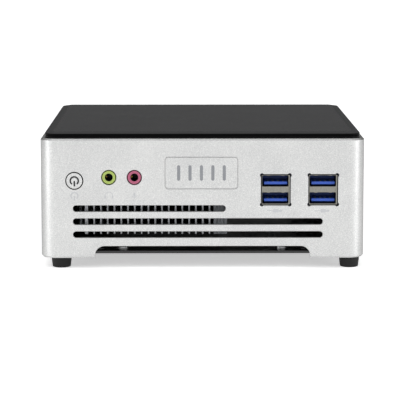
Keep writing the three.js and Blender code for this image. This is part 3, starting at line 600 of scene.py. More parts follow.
def slotCutter(left, right, z, side, face):
    half = ring["ventHeight"] / 2
    cutter = Shape(turnedTo(0, face, z, side))
    centre = (left + right) / 2 * (1 if side == "front" else -1)
    cutter.loft(rectangle(right - left, 2 * half, half - 0.01, 6, centre),
                mouth(ring["wall"] + ring["past"], ring["mouth"]))
    return cutter


def ringOpenings(low, high):
    # cutters for the front and the rear, but for the rows of vents
    openings = Shape()

    def opening(x, z, outline, side="front", flare=0.15, depth=ring["wall"] + ring["past"]):
        openings.at = turnedTo(x, low.y if side == "front" else high.y, z, side)
        openings.loft(outline, mouth(depth, flare))

    width = ring["shortRight"] - ring["ventLeft"]
    lastVent = ring["firstVent"] + 2 * ring["ventPitch"]
    opening((ring["ventLeft"] + ring["shortRight"]) / 2, lastVent,
            rectangle(width, ring["ventHeight"], ring["ventHeight"] / 2 - 0.01, 6),
            flare=ring["mouth"])
    buttonAt = middle("power_button")
    opening(buttonAt.x, buttonAt.z, circle(ring["buttonHole"], 48), flare=0.1)
    for node in ("headphone_jack", "microphone_jack"):
        opening(middle(node).x, ring["jackHeight"], circle(ring["jackHole"], 40), flare=0.12)
    gap = 2 * ring["portGap"]
    portHole = relieved(ring["usbFace"][0] + gap, ring["usbFace"][1] + gap, ring["relief"],
                        ring["reliefInset"])
    for side in ("left", "right"):
        opening(middle(f"front_usb_shell_{side}").x, ring["usbHeight"], portHole, flare=0.1)
    opening(0, low.z, rectangle(2 * ring["archHalf"], 2 * (ring["archTop"] - low.z),
                                ring["archCorner"], 8), flare=ring["mouth"])
    plateLow, plateHigh = span("badge_plate")
    gap = 2 * ring["badgeGap"]
    opening((plateLow.x + plateHigh.x) / 2, (plateLow.z + plateHigh.z) / 2,
            rectangle(plateHigh.x - plateLow.x + gap, plateHigh.z - plateLow.z + gap,
                      ring["badgeCorner"]), depth=ring["badgeDepth"])
    opening(0, (ring["rearBottom"] + ring["rearTop"]) / 2,
            rectangle(2 * ring["rearHalf"], ring["rearTop"] - ring["rearBottom"], 0.5, 3), "rear")
    for side in ("left", "right"):
        at = middle(f"antenna_jack_{side}")
        opening(at.x, at.z, circle(ring["antennaHole"], 32), "rear")
    return openings


def ringBosses(low, high, openings):
    # posts that the feet and the board are screwed to; each screw's hole joins the openings
    bosses = Shape()
    coverTop = span("bottom_cover")[1].z + ring["clearance"]
    boardBottom = span("main_board")[0].z - ring["clearance"]
    half = ring["bossSize"] / 2
    wallX = (high.x - low.x - ring["wall"]) / 2
    wallY = (high.y - low.y - ring["wall"]) / 2
    middleY = (low.y + high.y) / 2
    screws = [n for n in sorted(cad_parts) if n.startswith(("foot_screw", "board_screw"))]
    for node in screws:
        at = middle(node)
        toX, toY = math.copysign(1, at.x), math.copysign(1, at.y - middleY)
        x = sorted((at.x - toX * half, toX * wallX))
        if node.startswith("foot"):
            y = sorted((at.y - toY * half, middleY + toY * wallY))
            bosses.block(x, y, (coverTop, coverTop + ring["bossHeight"]), ring["bossCorner"],
                         steps=5)
            bottom = coverTop - ring["past"]
        else:
            y = (at.y - half, at.y + half)
            bosses.block(x, y, (boardBottom - ring["boardBossHeight"], boardBottom),
                         ring["boardBossCorner"], steps=3)
            bottom = boardBottom - ring["boardBossHeight"] + ring["past"]
        openings.at = Matrix.Translation((at.x, at.y, bottom))
        openings.loft(circle(ring["screwHole"], 20), [(0, 0), (0, ring["bossHeight"])])
    return bosses


def makeCaseRing():
    low, high = span("case_ring")
    size = high - low
    openings = ringOpenings(low, high)
    bosses = ringBosses(low, high, openings)
    tree = ShapeGraph("caseRing", {
        "Width": size.x, "Depth": size.y, "Height": size.z, "Centre Y": (low.y + high.y) / 2,
        "Base Z": low.z, "Wall": ring["wall"], "Corner": ring["corner"],
        "Chamfer": ring["chamfer"], "Corner Steps": ring["cornerSteps"],
        "Row Pitch": ring["ventPitch"], "Front Rows": ring["frontRows"],
        "Rear Rows": ring["rearRows"],
        "Front Slot": slotCutter(ring["ventLeft"], ring["ventRight"], ring["firstVent"],
                                 "front", low.y).source(),
        "Rear Slot": slotCutter(-ring["rearVent"], ring["rearVent"], ring["firstVent"],
                                "rear", high.y).source(),
        "Openings": openings.source(), "Bosses": bosses.source(),
        "Material": looks["aluminium"]})
    wall = tree["Wall"]
    path = tree.roundedCurve(tree["Width"] - wall, tree["Depth"] - wall,
                             tree["Corner"] - wall / 2, tree["Corner Steps"])
    path = tree.shape("SetCurveNormal", {"mode": "Z_UP"}, {"Curve": path})
    path = tree.moved(path, tree.combine(y=tree["Centre Y"],
                                         z=tree["Base Z"] + tree["Height"] / 2))
    # only the outer corners of the wall's section are cut back
    across = tree.node("ShaderNodeSeparateXYZ", {},
                       {"Vector": tree.shape("InputPosition")}, "X")
    section = tree.roundedCurve(wall, tree["Height"], tree["Chamfer"] * (across > 0.0), 1)
    band = tree.shape("CurveToMesh", {}, {"Curve": path, "Profile Curve": section})
    band = tree.shape("MeshBoolean", {"operation": "UNION", "solver": "MANIFOLD"},
                      {1: [band, tree.object("Bosses")]})
    cutters = [tree.object("Openings")]
    for rows, slot in (("Front Rows", "Front Slot"), ("Rear Rows", "Rear Slot")):
        line = tree.shape("MeshLine", {}, {"Count": tree[rows],
                                           "Offset": tree.combine(z=tree["Row Pitch"])})
        cutters.append(tree.shape("RealizeInstances", {},
                                  {"Geometry": tree.copies(line, tree.object(slot))}))
    band = tree.shape("MeshBoolean", {"operation": "DIFFERENCE", "solver": "MANIFOLD"},
                      {0: band, 1: cutters})
    return addPiece("caseRing", tree.finish(band), "chassis", ["case_ring"], 30)


makeCaseRing()
print("case ring made")


# Lid: a black frame that plugs into the ring, and a glossy panel with a wide sloping border

lid = {"corner": 6.0, "bevelWidth": 4.0, "bevelHeight": 0.6, "edge": 0.14, "frameCorner": 5.75,
       "plate": 1.0, "plugWall": 1.5, "plugCorner": 5.2, "plugGap": 0.3}


def centredRectangle(low, high, radius, steps=12, inset=0.0):
    return rectangle(high.x - low.x - 2 * inset, high.y - low.y - 2 * inset, radius, steps,
                     (low.x + high.x) / 2, (low.y + high.y) / 2)


def makeLidPanel():
    low, high = span("lid_panel")
    edge = lid["edge"]
    slope = high.z - lid["bevelHeight"]
    panel = Shape()
    loops = panel.rings(centredRectangle(low, high, lid["corner"]), [
        (-edge, low.z), (-edge / 3, low.z + edge / 3), (0, low.z + edge),
        (0, slope - edge), (-edge / 4, slope - edge / 4), (-edge, slope),
        (0.2 - lid["bevelWidth"], high.z - 0.045), (-lid["bevelWidth"], high.z - 0.015),
        (-0.4 - lid["bevelWidth"], high.z)])
    panel.skin(loops[:5], 2)
    panel.skin(loops[4:7], 1)
    panel.skin(loops[6:])
    panel.face(loops[0][::-1], 2)
    panel.face(loops[-1])
    mesh = panel.made(materials=[looks["lidGloss"], looks["lidBorder"], looks["lidEdge"]])
    addPiece("lidPanel", mesh, "chassis", ["lid_panel"], 12)


def makeLidFrame():
    # a plate under the panel, and the rim that plugs into the ring
    low, high = span("lid_frame")
    under = high.z - lid["plate"]
    rim = Shape()
    rim.loft(centredRectangle(low, high, lid["frameCorner"]), eased(under, high.z, 0.1, 0.25))
    ringLow, ringHigh = span("case_ring")
    inset = ring["wall"] + lid["plugGap"]
    plug = centredRectangle(ringLow, ringHigh, lid["plugCorner"], inset=inset)
    rim.tube(plug, [(-0.2, low.z), (0, low.z + 0.2), (0, under + 0.1),
                    (-lid["plugWall"], under + 0.1), (-lid["plugWall"], low.z)])
    addPiece("lidFrame", rim.made(materials=[looks["lidBlack"]]), "chassis", ["lid_frame"])


makeLidPanel()
makeLidFrame()


# Bottom cover: black sheet steel, with drive holes, air slots and round holes

cover = {"corner": 5.2, "driveHole": 2.5, "driveX": 38.3, "driveY": (-68.75, -7.05),
         "slotRows": 7, "slotPitch": 5.0, "slotWidth": 2.4, "slotX": (-34.3, -9.85),
         "slotY": -15.85, "roundHole": 1.9, "roundPitch": 11.5, "roundX": 34.7,
         "roundY": (-31.35, -19.85), "outerX": 48.5, "outerY": -72.15, "screwHole": 1.8,
         "insertHole": 1.6, "insertFlange": 3.3, "insertRise": 1.0}


def insertSource(low, high):
    # a bright insert pressed into a hole from above, at a drive's screw hole: painted light, its bright
    # steel standing in for the light seen through the hole
    shape = Shape()
    hole, radius = cover["insertHole"], cover["driveHole"] - 0.05
    flange, top = cover["insertFlange"], high + cover["insertRise"]
    shape.tube(circle(0, 24), [
        (hole + 0.2, low + 0.1), (radius - 0.1, low + 0.1), (radius, low + 0.2), (radius, high),
        (flange, high), (flange, top - 0.15), (flange - 0.15, top), (hole + 0.3, top),
        (hole, top - 0.3), (hole, low + 0.3)])
    return shape.source()


def makeCover():
    low, high = span("bottom_cover")
    size = high - low
    atScrews = [middle(n) for n in sorted(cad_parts) if n.startswith("foot_screw")]
    holes = {
        "Drive Hole": (cover["driveHole"], [(x, y) for x in (-cover["driveX"], cover["driveX"])
                                            for y in cover["driveY"]]),
        "Round Hole": (cover["roundHole"],
                       [(cover["roundX"] + column * cover["roundPitch"], y)
                        for column in (-1, 0, 1) for y in cover["roundY"]]
                       + [(x, cover["outerY"]) for x in (-cover["outerX"], cover["outerX"])]),
        "Screw Hole": (cover["screwHole"], [(p.x, p.y) for p in atScrews])}
    inputs = {"Width": size.x, "Depth": size.y, "Thickness": size.z, "Corner": cover["corner"],
              "Centre Y": (low.y + high.y) / 2, "Base Z": low.z, "Slot Rows": cover["slotRows"],
              "Slot Pitch": cover["slotPitch"], "Slot Width": cover["slotWidth"],
              "Slot Length": cover["slotX"][1] - cover["slotX"][0],
              "Slot X": sum(cover["slotX"]) / 2, "Slot Y": cover["slotY"],
              "Material": looks["blackSteel"]}
    for label, (radius, points) in holes.items():
        inputs[label + " Radius"] = radius
        inputs[label + " Places"] = placesObject([(*p, 0) for p in points])
    tree = ShapeGraph("bottomCover", inputs)
    outline = tree.moved(tree.roundedCurve(tree["Width"], tree["Depth"], tree["Corner"], 10),
                         tree.combine(y=tree["Centre Y"]))
    slot = tree.roundedCurve(tree["Slot Length"], tree["Slot Width"],
                             tree["Slot Width"] * 0.49, 6)
    start = tree["Slot Y"] - (tree["Slot Rows"] - 1) * tree["Slot Pitch"] / 2
    line = tree.shape("MeshLine", {}, {
        "Count": tree["Slot Rows"], "Offset": tree.combine(y=tree["Slot Pitch"]),
        "Start Location": tree.combine(x=tree["Slot X"], y=start)})
    curves = [outline, tree.copies(line, slot)]
    for label in holes:
        hole = tree.shape("CurvePrimitiveCircle", {"mode": "RADIUS"},
                          {"Resolution": 24, "Radius": tree[label + " Radius"]})
        curves.append(tree.copies(tree.object(label + " Places"), hole))
    flat = tree.shape("RealizeInstances", {}, {
        "Geometry": tree.shape("JoinGeometry", {}, {"Geometry": curves})})
    sheet = tree.shape("FillCurve", {"mode": "TRIANGLES"}, {"Curve": flat})
    sheet = tree.moved(sheet, tree.combine(z=tree["Base Z"]))
    raised = tree.shape("ExtrudeMesh", {"mode": "FACES"}, {
        "Mesh": sheet, "Offset Scale": tree["Thickness"], "Individual": False})
    back = tree.shape("FlipFaces", {}, {"Mesh": sheet})
    sheet = tree.shape("MergeByDistance", {}, {
        "Geometry": tree.shape("JoinGeometry", {}, {"Geometry": [raised, back]}),
        "Distance": 0.001})
    addPiece("bottomCover", tree.finish(sheet), "chassis", ["bottom_cover"], 30)
    spots = [(*p, 0) for p in holes["Drive Hole"][1]]
    # the inserts' bright steel is painted light for the drive holes
    inserts = repeated("coverInserts", insertSource(low.z, high.z), spots, looks["cellSteel"])
    addPiece("coverInserts", inserts, "chassis", [])


makeCover()
print("lid and bottom cover made")


# Feet and screws

foot = {"profile": [(3.0, 0), (3.85, 0), (4.15, 0.1), (4.35, 0.32), (4.42, 0.65), (4.9, 4.7),
                    (4.98, 5.05), (4.9, 5.24), (4.7, 5.3), (3.4, 5.3), (3.4, 7.25), (1.8, 7.25),
                    (1.8, 2.6), (2.9, 2.6), (2.9, 0.12)], "sides": 40}
screw = {"radius": 1.5, "head": 2.6, "headHeight": 1.6, "thread": 0.14, "pitch": 0.5,
         "recess": 1.5, "recessWidth": 0.42, "recessDepth": 0.9, "seed": 7}


def screwSource(length, side):
    # a pan-head screw with a cross recess; its head stands on z = 0 and points to the side
    shape = Shape(turnedTo(0, 0, 0, side))
    recess = cross(screw["recess"], screw["recessWidth"])
    top = screw["headHeight"]
    shape.pierced(circle(screw["head"], 32), [
        (-0.08, 0), (0, 0.08), (0, top * 0.45), (-0.12, top * 0.7), (-0.42, top * 0.9),
        (-0.85, top)], [[recess, [(0.06, top), (0, top - 0.1),
                                  (-0.2, top - screw["recessDepth"])], 0, True]])
    steps = [(-0.5, -length), (-0.15, -length + 0.4)]
    z = -length + 0.4
    while z + screw["pitch"] < -0.4:
        steps += [(0, z + screw["pitch"] / 2), (-screw["thread"], z + screw["pitch"])]
        z += screw["pitch"]
    steps.append((-screw["thread"], 0.1))
    shape.loft(circle(screw["radius"], 20), steps)
    return shape.source(materials=[looks["zinc"]])


def makeFeetAndScrews():
    nodes = sorted(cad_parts)
    feet = [n for n in nodes if n.startswith("foot_") and "screw" not in n]
    source = Shape()
    source.tube(circle(0, foot["sides"]), foot["profile"])
    spots = [(middle(n).x, middle(n).y, 0) for n in feet]
    mesh = repeated("rubberFeet", source.source(), spots, looks["rubber"])
    addPiece("rubberFeet", mesh, "chassis", feet, 40)
    kinds = {"footScrews": ("foot_screw", "bottom", screw["headHeight"]),
             "boardScrews": ("board_screw", "top", -screw["headHeight"]),
             "heatsinkScrews": ("heatsink_screw", "top", -screw["headHeight"])}
    for name, (start, side, lift) in kinds.items():
        mine = [n for n in nodes if n.startswith(start)]
        low, high = span(mine[0])
        seat = low.z + lift if side == "bottom" else high.z + lift
        length = high.z - low.z - screw["headHeight"]
        spots = [(middle(n).x, middle(n).y, seat) for n in mine]
        mesh = repeated(name, screwSource(length, side), spots, looks["zinc"],
                        spin=2 * math.pi, seed=screw["seed"])
        addPiece(name, mesh, "chassis", mine, 40)


makeFeetAndScrews()
print("feet and screws made")


# Front: power button, audio jacks, badge plate and printed marks

button = {"radius": 3.8, "edge": 0.22, "dish": 0.12, "step": 0.03, "flange": 4.9,
          "flangeDepth": 0.8, "wall": 2.4, "stem": 1.5}
symbol = {"outer": 2.3, "line": 0.78, "gap": 74, "bar": (0.0, 2.7), "height": 0.02}
jack = {"collar": 3.14, "bore": 1.8, "houseStart": 2.3, "boreDepth": 12.6,
        "contacts": ((80, -6.0), (200, -8.0))}
badge = {"corner": 1.48, "edge": 0.12, "sunk": 0.03, "bars": 5, "barPitch": 5.4,
         "barWidth": 1.5, "barHeight": 7.4}
marks = {"below": 7.2, "size": 0.85, "height": 0.012, "portMarkZ": 28.2, "arch": (2.0, 0.35),
         "earpiece": (0.7, 1.3), "earpiecePlace": (1.75, -0.6), "capsule": (1.0, 1.9),
         "cradle": (1.3, 0.28), "stem": (0.28, 0.8),
         "plug": ((2.8, 0.35, -2.7), (2.6, 1.7, 0.1), (1.5, 1.0, 2.25))}


def arcBand(shape, outer, line, start, end, z, height, slot=0, steps=24, y=0.0):
    # a flat band along part of a circle; angles in degrees
    loops = []
    for i in range(steps + 1):
        angle = math.radians(start + (end - start) * i / steps)
        across = Vector((math.cos(angle), math.sin(angle), 0))
        corners = [across * (outer - line), across * outer]
        loops.append([shape.mesh.verts.new(shape.at @ (p + Vector((0, y, z + rise))))
                      for p, rise in ((corners[0], 0), (corners[1], 0),
                                      (corners[1], height), (corners[0], height))])
    shape.skin(loops, slot)
    shape.face(loops[0][::-1], slot)
    shape.face(loops[-1], slot)


def powerMark(shape, scale, z, height, turn=270, slot=0):
    # a broken ring with a bar through the gap, which faces the turn's angle
    half = symbol["gap"] / 2
    arcBand(shape, symbol["outer"] * scale, symbol["line"] * scale, turn + half,
            turn + 360 - half, z, height, slot)
    near, far = (scale * x for x in symbol["bar"])
    toY = math.sin(math.radians(turn))
    y = sorted((toY * near, toY * far))
    half = symbol["line"] * scale / 2
    shape.loft(rectangle(2 * half, y[1] - y[0], half * 0.9, 3, 0, sum(y) / 2),
               [(0, z), (0, z + height)], slot)


def makeButton():
    low, high = span("power_button")
    at = (low + high) / 2
    radius, edge = button["radius"], button["edge"]
    face = -button["step"]
    wall = -button["wall"]
    shape = Shape(turnedTo(at.x, low.y, at.z, "front"))
    loops = shape.rings(circle(0, 64), [
        (button["stem"] - 0.2, low.y - high.y), (button["stem"], low.y - high.y + 0.2),
        (button["stem"], wall - button["flangeDepth"]),
        (button["flange"] - 0.1, wall - button["flangeDepth"]),
        (button["flange"], wall - button["flangeDepth"] + 0.1),
        (button["flange"], wall - 0.1), (button["flange"] - 0.1, wall), (radius, wall),
        (radius, face - edge - 0.6), (radius, face - edge), (radius - edge * 0.13, face - edge * 0.5),
        (radius - edge * 0.5, face - edge * 0.13), (radius - edge, face),
        (radius - 2 * edge, face - 0.03), (radius - 3.5 * edge, face - button["dish"])])
    # the flange and the part of the cap inside the wall are black plastic
    shape.skin(loops[:9], 2)
    shape.skin(loops[8:])
    shape.face(loops[0][::-1], 2)
    shape.face(loops[-1])
    dished = face - button["dish"]
    powerMark(shape, 1.0, dished - 0.02, symbol["height"] + 0.02, slot=1)
    mesh = shape.made(materials=[looks["aluminium"], looks["darkInk"], looks["portBlack"]])
    addPiece("powerButton", mesh, "button", ["power_button"])


def makeJack(name, node, finish):
    low, high = span(node)
    at = Vector(((low.x + high.x) / 2, low.y, ring["jackHeight"]))
    depth = low.y - high.y
    shape = Shape(turnedTo(*at, "front"))
    halfX, top, bottom = (high.x - low.x) / 2, high.z - at.z, low.z - at.z
    house = rectangle(2 * halfX, top - bottom, 0.3, 8, 0, (top + bottom) / 2)
    bore, start = jack["bore"], -jack["houseStart"]
    outer = shape.rings(circle(jack["collar"], 36), [
        (-0.15, depth, house), (0, depth + 0.15, house), (0, start - 0.15, house),
        (-0.15, start, house), (-0.05, start), (-0.05, -0.25), (-0.1, -0.08), (-0.25, 0)])
    inner = shape.rings(circle(bore, 32), [
        (0.8, 0), (0.68, -0.06), (0.6, -0.22), (0.3, -0.3), (0.1, -0.38), (0.02, -0.6),
        (0, -jack["boreDepth"])])
    shape.skin(outer)
    shape.skin([loop[::-1] for loop in inner[:5]])
    shape.skin([loop[::-1] for loop in inner[4:]], 1)
    shape.face(outer[0][::-1])
    shape.face(inner[-1], 1)
    shape.fill([outer[-1], inner[0]])
    # two spring contacts reach into the bore
    for turn, reach in jack["contacts"]:
        where = Matrix.Rotation(math.radians(turn), 4, "Z")
        shape.at = turnedTo(*at, "front") @ where
        shape.block((bore - 0.55, bore + 0.2), (-0.5, 0.5), (reach - 1.4, reach), 0.1, 2)
    mesh = shape.made(materials=[looks[finish], looks["portBlack"], looks["gold"]])
    addPiece(name, mesh, "chassis", [node])


def makeBadge():
    low, high = span("badge_plate")
    size = high - low
    shape = Shape(turnedTo((low.x + high.x) / 2, low.y, (low.z + high.z) / 2, "front"))
    edge, sunk = badge["edge"], badge["sunk"]
    outline = rectangle(size.x, size.z, badge["corner"], 8)
    shape.loft(outline, [(0, -size.y), (0, -sunk - edge), (-edge * 0.3, -sunk - edge * 0.3),
                         (-edge, -sunk)])
    for i in range(badge["bars"]):
        x = (i - (badge["bars"] - 1) / 2) * badge["barPitch"]
        shape.loft(rectangle(badge["barWidth"], badge["barHeight"], badge["barWidth"] / 2 - 0.01,
                             6, x), [(0, -sunk - 0.05), (0, -0.005)], 1)
    mesh = shape.made(materials=[looks["aluminium"], looks["engraved"]])
    addPiece("badgePlate", mesh, "chassis", ["badge_plate"])


def makeMarks():
    # small grey pictures printed on the ring: power, headphones, microphone, plugs
    front = span("case_ring")[0].y
    height = marks["height"]
    ink = [(0, 0), (0, height)]
    shape = Shape()

    def place(x, z):
        shape.at = turnedTo(x, front, z, "front")

    at = middle("power_button")
    place(at.x, at.z - marks["below"])
    powerMark(shape, marks["size"], 0, height)
    place(middle("headphone_jack").x, at.z - marks["below"])
    arcBand(shape, *marks["arch"], 0, 180, 0, height)
    x, y = marks["earpiecePlace"]
    for side in (-1, 1):
        shape.loft(rectangle(*marks["earpiece"], 0.25, 3, side * x, y), ink)
    place(middle("microphone_jack").x, at.z - marks["below"])
    shape.loft(rectangle(*marks["capsule"], 0.49, 4, 0, 0.6), ink)
    arcBand(shape, *marks["cradle"], 190, 350, 0, height, y=0.4)
    shape.loft(rectangle(*marks["stem"], 0.06, 2, 0, -1.2), ink)
    for side in ("left", "right"):
        place(middle(f"front_usb_shell_{side}").x, marks["portMarkZ"])
        for wide, high, x in marks["plug"]:
            shape.loft(rectangle(wide, high, high * 0.2, 3, x), ink)
    addPiece("printedMarks", shape.made(materials=[looks["greyInk"]]), "chassis", [],
             weighted=False)


makeButton()
makeJack("headphoneJack", "headphone_jack", "jackGreen")
makeJack("microphoneJack", "microphone_jack", "jackPink")
makeBadge()
makeMarks()
print("front pieces made")


# Double USB ports, at the front and the rear

usb = {"face": (13.9, 14.7), "shown": 0.3, "corner": 0.7, "port": (12.5, 5.4),
       "portCorner": 0.45, "portShift": (-0.2, 0.1), "pitch": 8.1, "recess": 0.5, "lip": 0.06,
       "wallInset": 0.05, "depth": 14.4, "houseBase": 0.15, "houseEdge": 0.2,
       "neck": {"front": 2.05, "rear": 3.15}, "tongue": (11.1, 1.4), "tongueRecess": 1.4,
       "tongueDrop": 1.0, "pads": 4, "padPitch": 2.4, "padWidth": 1.1, "padLength": 5.2,
       "padRise": 0.07, "spring": (1.5, 6.0, 0.3), "springPlace": (3.4, -1.2)}


def portPlace(node, side):
    # the middle of a double port's face
    low, high = span(node)
    z = low.z + usb["houseBase"] + usb["face"][1] / 2
    return (low.x + high.x) / 2, low.y if side == "front" else high.y, z


def makeUsbShell(name, node, side, innerShade):
    low, high = span(node)
    x, y, z = portPlace(node, side)
    depth = low.y - high.y
    neck = -usb["neck"][side]
    place = turnedTo(x, y, z, side)
    shape = Shape(place)
    house = rectangle(high.x - low.x, high.z - low.z, usb["houseEdge"], 5, 0,
                      (low.z + high.z) / 2 - z)
    face = rectangle(*usb["face"], usb["corner"])
    shown = usb["shown"]
    outer = shape.rings(face, [(-0.15, depth, house), (0, depth + 0.15, house),
                               (0, neck, house), (-shown, neck), (-shown, -0.15),
                               (-shown - 0.02, -0.04), (-shown - 0.08, 0)])
    # the step between the housing and the neck takes the dark finish: painted shade, standing for the
    # gap round the face
    shape.skin(outer[:3])
    shape.skin(outer[2:4], 1)
    shape.skin(outer[3:])
    shape.face(outer[0][::-1])
    width, height = usb["port"]
    shiftX, shiftY = usb["portShift"]
    pair = shape.rings(rectangle(width, usb["pitch"] + height, usb["portCorner"], 5, shiftX,
                                 shiftY),
                       [(usb["lip"], 0), (usb["lip"] * 0.3, -0.04), (0, -0.1),
                        (0, -usb["recess"])])
    shape.skin([loop[::-1] for loop in pair])
    shape.fill([outer[-1], pair[0]])
    mouths = [pair[-1]]
    for toY in (-1, 1):
        port = rectangle(width, height, usb["portCorner"], 5, shiftX,
                         shiftY + toY * usb["pitch"] / 2)
        # a hair inside the frame above, so that the two outlines never touch
        inset = usb["wallInset"]
        walls = shape.rings(port, [(-0.02, -usb["recess"]), (-inset, -usb["recess"] - 0.5),
                                   (-inset, -2.2), (-inset, -usb["depth"])])
        shape.skin([loop[::-1] for loop in walls[:2]])
        # the walls further in and the back take the dark finish: painted shade for the port's inside
        shape.skin([loop[::-1] for loop in walls[1:]], 1)
        shape.face(walls[-1], 1)
        mouths.append(walls[0])
        # two springs press on the plug from the shell's outer side
        wide, long, drop = usb["spring"]
        springX, springZ = usb["springPlace"]
        wallY = shiftY + toY * usb["pitch"] / 2 + height / 2 - inset
        for toX in (-1, 1):
            shape.at = place @ Matrix.Translation((toX * springX, wallY, springZ))
            shape.loft(rectangle(wide, 0.5, 0.1, 1), [(0, -long), (0, -long * 0.6),
                                                      (drop * 0.4, -long * 0.4), (0, 0)])
        shape.at = place
    shape.fill(mouths)
    mesh = shape.made(materials=[looks["portMetal"], looks[innerShade]])
    addPiece(name, mesh, "chassis", [node])


def makeUsbTongues(name, node, shellNode, side, finish):
    x, y, z = portPlace(shellNode, side)
    place = turnedTo(x, y, z, side)
    shape = Shape(place)
    wide, thick = usb["tongue"]
    width, height = usb["port"]
    pads = []
    for toY in (-1, 1):
        middleY = toY * usb["pitch"] / 2
        tongueY = middleY - usb["tongueDrop"]
        shape.loft(rectangle(wide, thick, 0.25, 3, 0, tongueY), [
            (0, -usb["depth"] + 0.3), (0, -usb["tongueRecess"] - 0.5),
            (-0.08, -usb["tongueRecess"] - 0.12), (-0.3, -usb["tongueRecess"])])
        shape.block((-width / 2 + 0.1, width / 2 - 0.1),
                    (middleY - height / 2 + 0.1, middleY + height / 2 - 0.1),
                    (-usb["depth"] + 0.05, -usb["depth"] + 1.6), 0.1)
        top = tongueY + thick / 2
        for i in range(usb["pads"]):
            pads.append(place @ Vector(((i - (usb["pads"] - 1) / 2) * usb["padPitch"], top,
                                        -usb["tongueRecess"] - 0.9 - usb["padLength"] / 2)))
    pad = Shape(turnedTo(0, 0, 0, side))
    long = usb["padLength"] / 2
    pad.block((-usb["padWidth"] / 2, usb["padWidth"] / 2), (-0.1, usb["padRise"]),
              (-long, long), 0.04)
    mesh = repeated(name, pad.source(), pads, looks["zinc"],
                    shape.source(materials=[looks[finish]]))
    addPiece(name, mesh, "chassis", [node])


# the dark finish inside each side's ports is painted shade
for side, places, innerShade, finish, slotName in (
        ("front", ("left", "right"), "navyPortShade", "blueTongue", "usb_blue"),
        ("rear", ("inner", "outer"), "blackPlasticAndShade", "blackTongue", "port_black")):
    for where in places:
        shell = f"{side}_usb_shell_{where}"
        makeUsbShell(f"{side}UsbShell{where.capitalize()}", shell, side, innerShade)
        makeUsbTongues(f"{side}UsbTongues{where.capitalize()}", f"{side}_usb_tongues_{where}",
                       shell, side, finish)
print("USB ports made")


# Rear: sheet-steel port plate, power inlet, video and network ports, aerial sockets

rearPlate = {"gap": 0.25, "edge": 0.12,
             "ports": ("power_inlet", "video_shell", "network_port", "rear_usb_shell_inner",
                       "rear_usb_shell_outer")}
inlet = {"bore": 2.9, "boreDepth": 9.0, "pin": 1.05, "pinFront": 0.6, "axis": -1.0, "edge": 0.35,
         "cup": 0.5}
video = {"rim": 0.5, "bevel": 1.4, "corner": 0.3, "contacts": 10, "contactPitch": 1.0}
network = {"mouth": ((-5.9, -5.4), (5.9, -5.4), (5.9, 2.8), (3.1, 2.8), (3.1, 4.4), (1.8, 4.4),
                     (1.8, 5.6), (-1.8, 5.6), (-1.8, 4.4), (-3.1, 4.4), (-3.1, 2.8), (-5.9, 2.8)),
           "depth": 14.0, "contacts": 8, "contactPitch": 1.02, "lampX": 5.9, "lampY": 4.6,
           "lamp": (2.6, 1.7)}
aerial = {"barrel": 2.82, "thread": 0.22, "threadPitch": 0.75, "bore": 2.2, "boreDepth": 7.0,
          "core": 1.5, "pinRadius": 0.55, "nutRadius": 4.5, "nutHole": 3.2, "flange": 8.2}


def makeRearPlate():
    low, high = span("rear_plate")
    place = turnedTo(0, high.y, 0, "rear")
    edge, gap = rearPlate["edge"], rearPlate["gap"]
    shape = Shape(place)
    thick = high.y - low.y
    holes = []
    for node in rearPlate["ports"]:
        nodeLow, nodeHigh = span(node)
        if "usb" in node:
            x, _, z = portPlace(node, "rear")
            width, height = usb["face"]
        else:
            x, z = middle(node).x, middle(node).z
            width, height = nodeHigh.x - nodeLow.x, nodeHigh.z - nodeLow.z
        outline = rectangle(width + 2 * gap, height + 2 * gap, 0.35, 4, -x, z)
        holes.append([outline, bored(thick, edge), 0, False])
    outline = rectangle(high.x - low.x, high.z - low.z, 0.8, 5, 0, (low.z + high.z) / 2)
    shape.pierced(outline, eased(-thick, 0, edge), holes)
    addPiece("rearPlate", shape.made(materials=[looks["blackSteel"]]), "chassis", ["rear_plate"],
             30)


def makePowerInlet():
    low, high = span("power_inlet")
    at = middle("power_inlet")
    size = high - low
    shape = Shape(turnedTo(at.x, high.y, at.z, "rear"))
    edge, axis = inlet["edge"], inlet["axis"]
    shape.pierced(rectangle(size.x, size.z, edge, 4), [
        (-0.1, -size.y), (0, 0.1 - size.y), (0, -edge), (-edge * 0.3, -edge * 0.3), (-edge, 0)],
        [[circle(inlet["bore"], 32, 0, axis), [(inlet["cup"], 0), (0.1, -inlet["cup"]),
                                               (0, -0.8), (0, -inlet["boreDepth"])], 0, True]])
    shape.loft(circle(inlet["pin"], 20, 0, axis), [
        (0, -inlet["boreDepth"] - 0.3), (0, -inlet["pinFront"] - 0.5),
        (-0.18, -inlet["pinFront"] - 0.15), (-0.55, -inlet["pinFront"])], 1)
    for toX in (-1, 1):
        reach = inlet["bore"]
        shape.block(sorted((toX * (reach - 0.5), toX * (reach + 0.2))),
                    (axis - 0.8, axis + 0.8), (-8.5, -2.5), 0.12, 1)
    mesh = shape.made(materials=[looks["portBlack"], looks["zinc"]])
    addPiece("powerInlet", mesh, "chassis", ["power_inlet"])


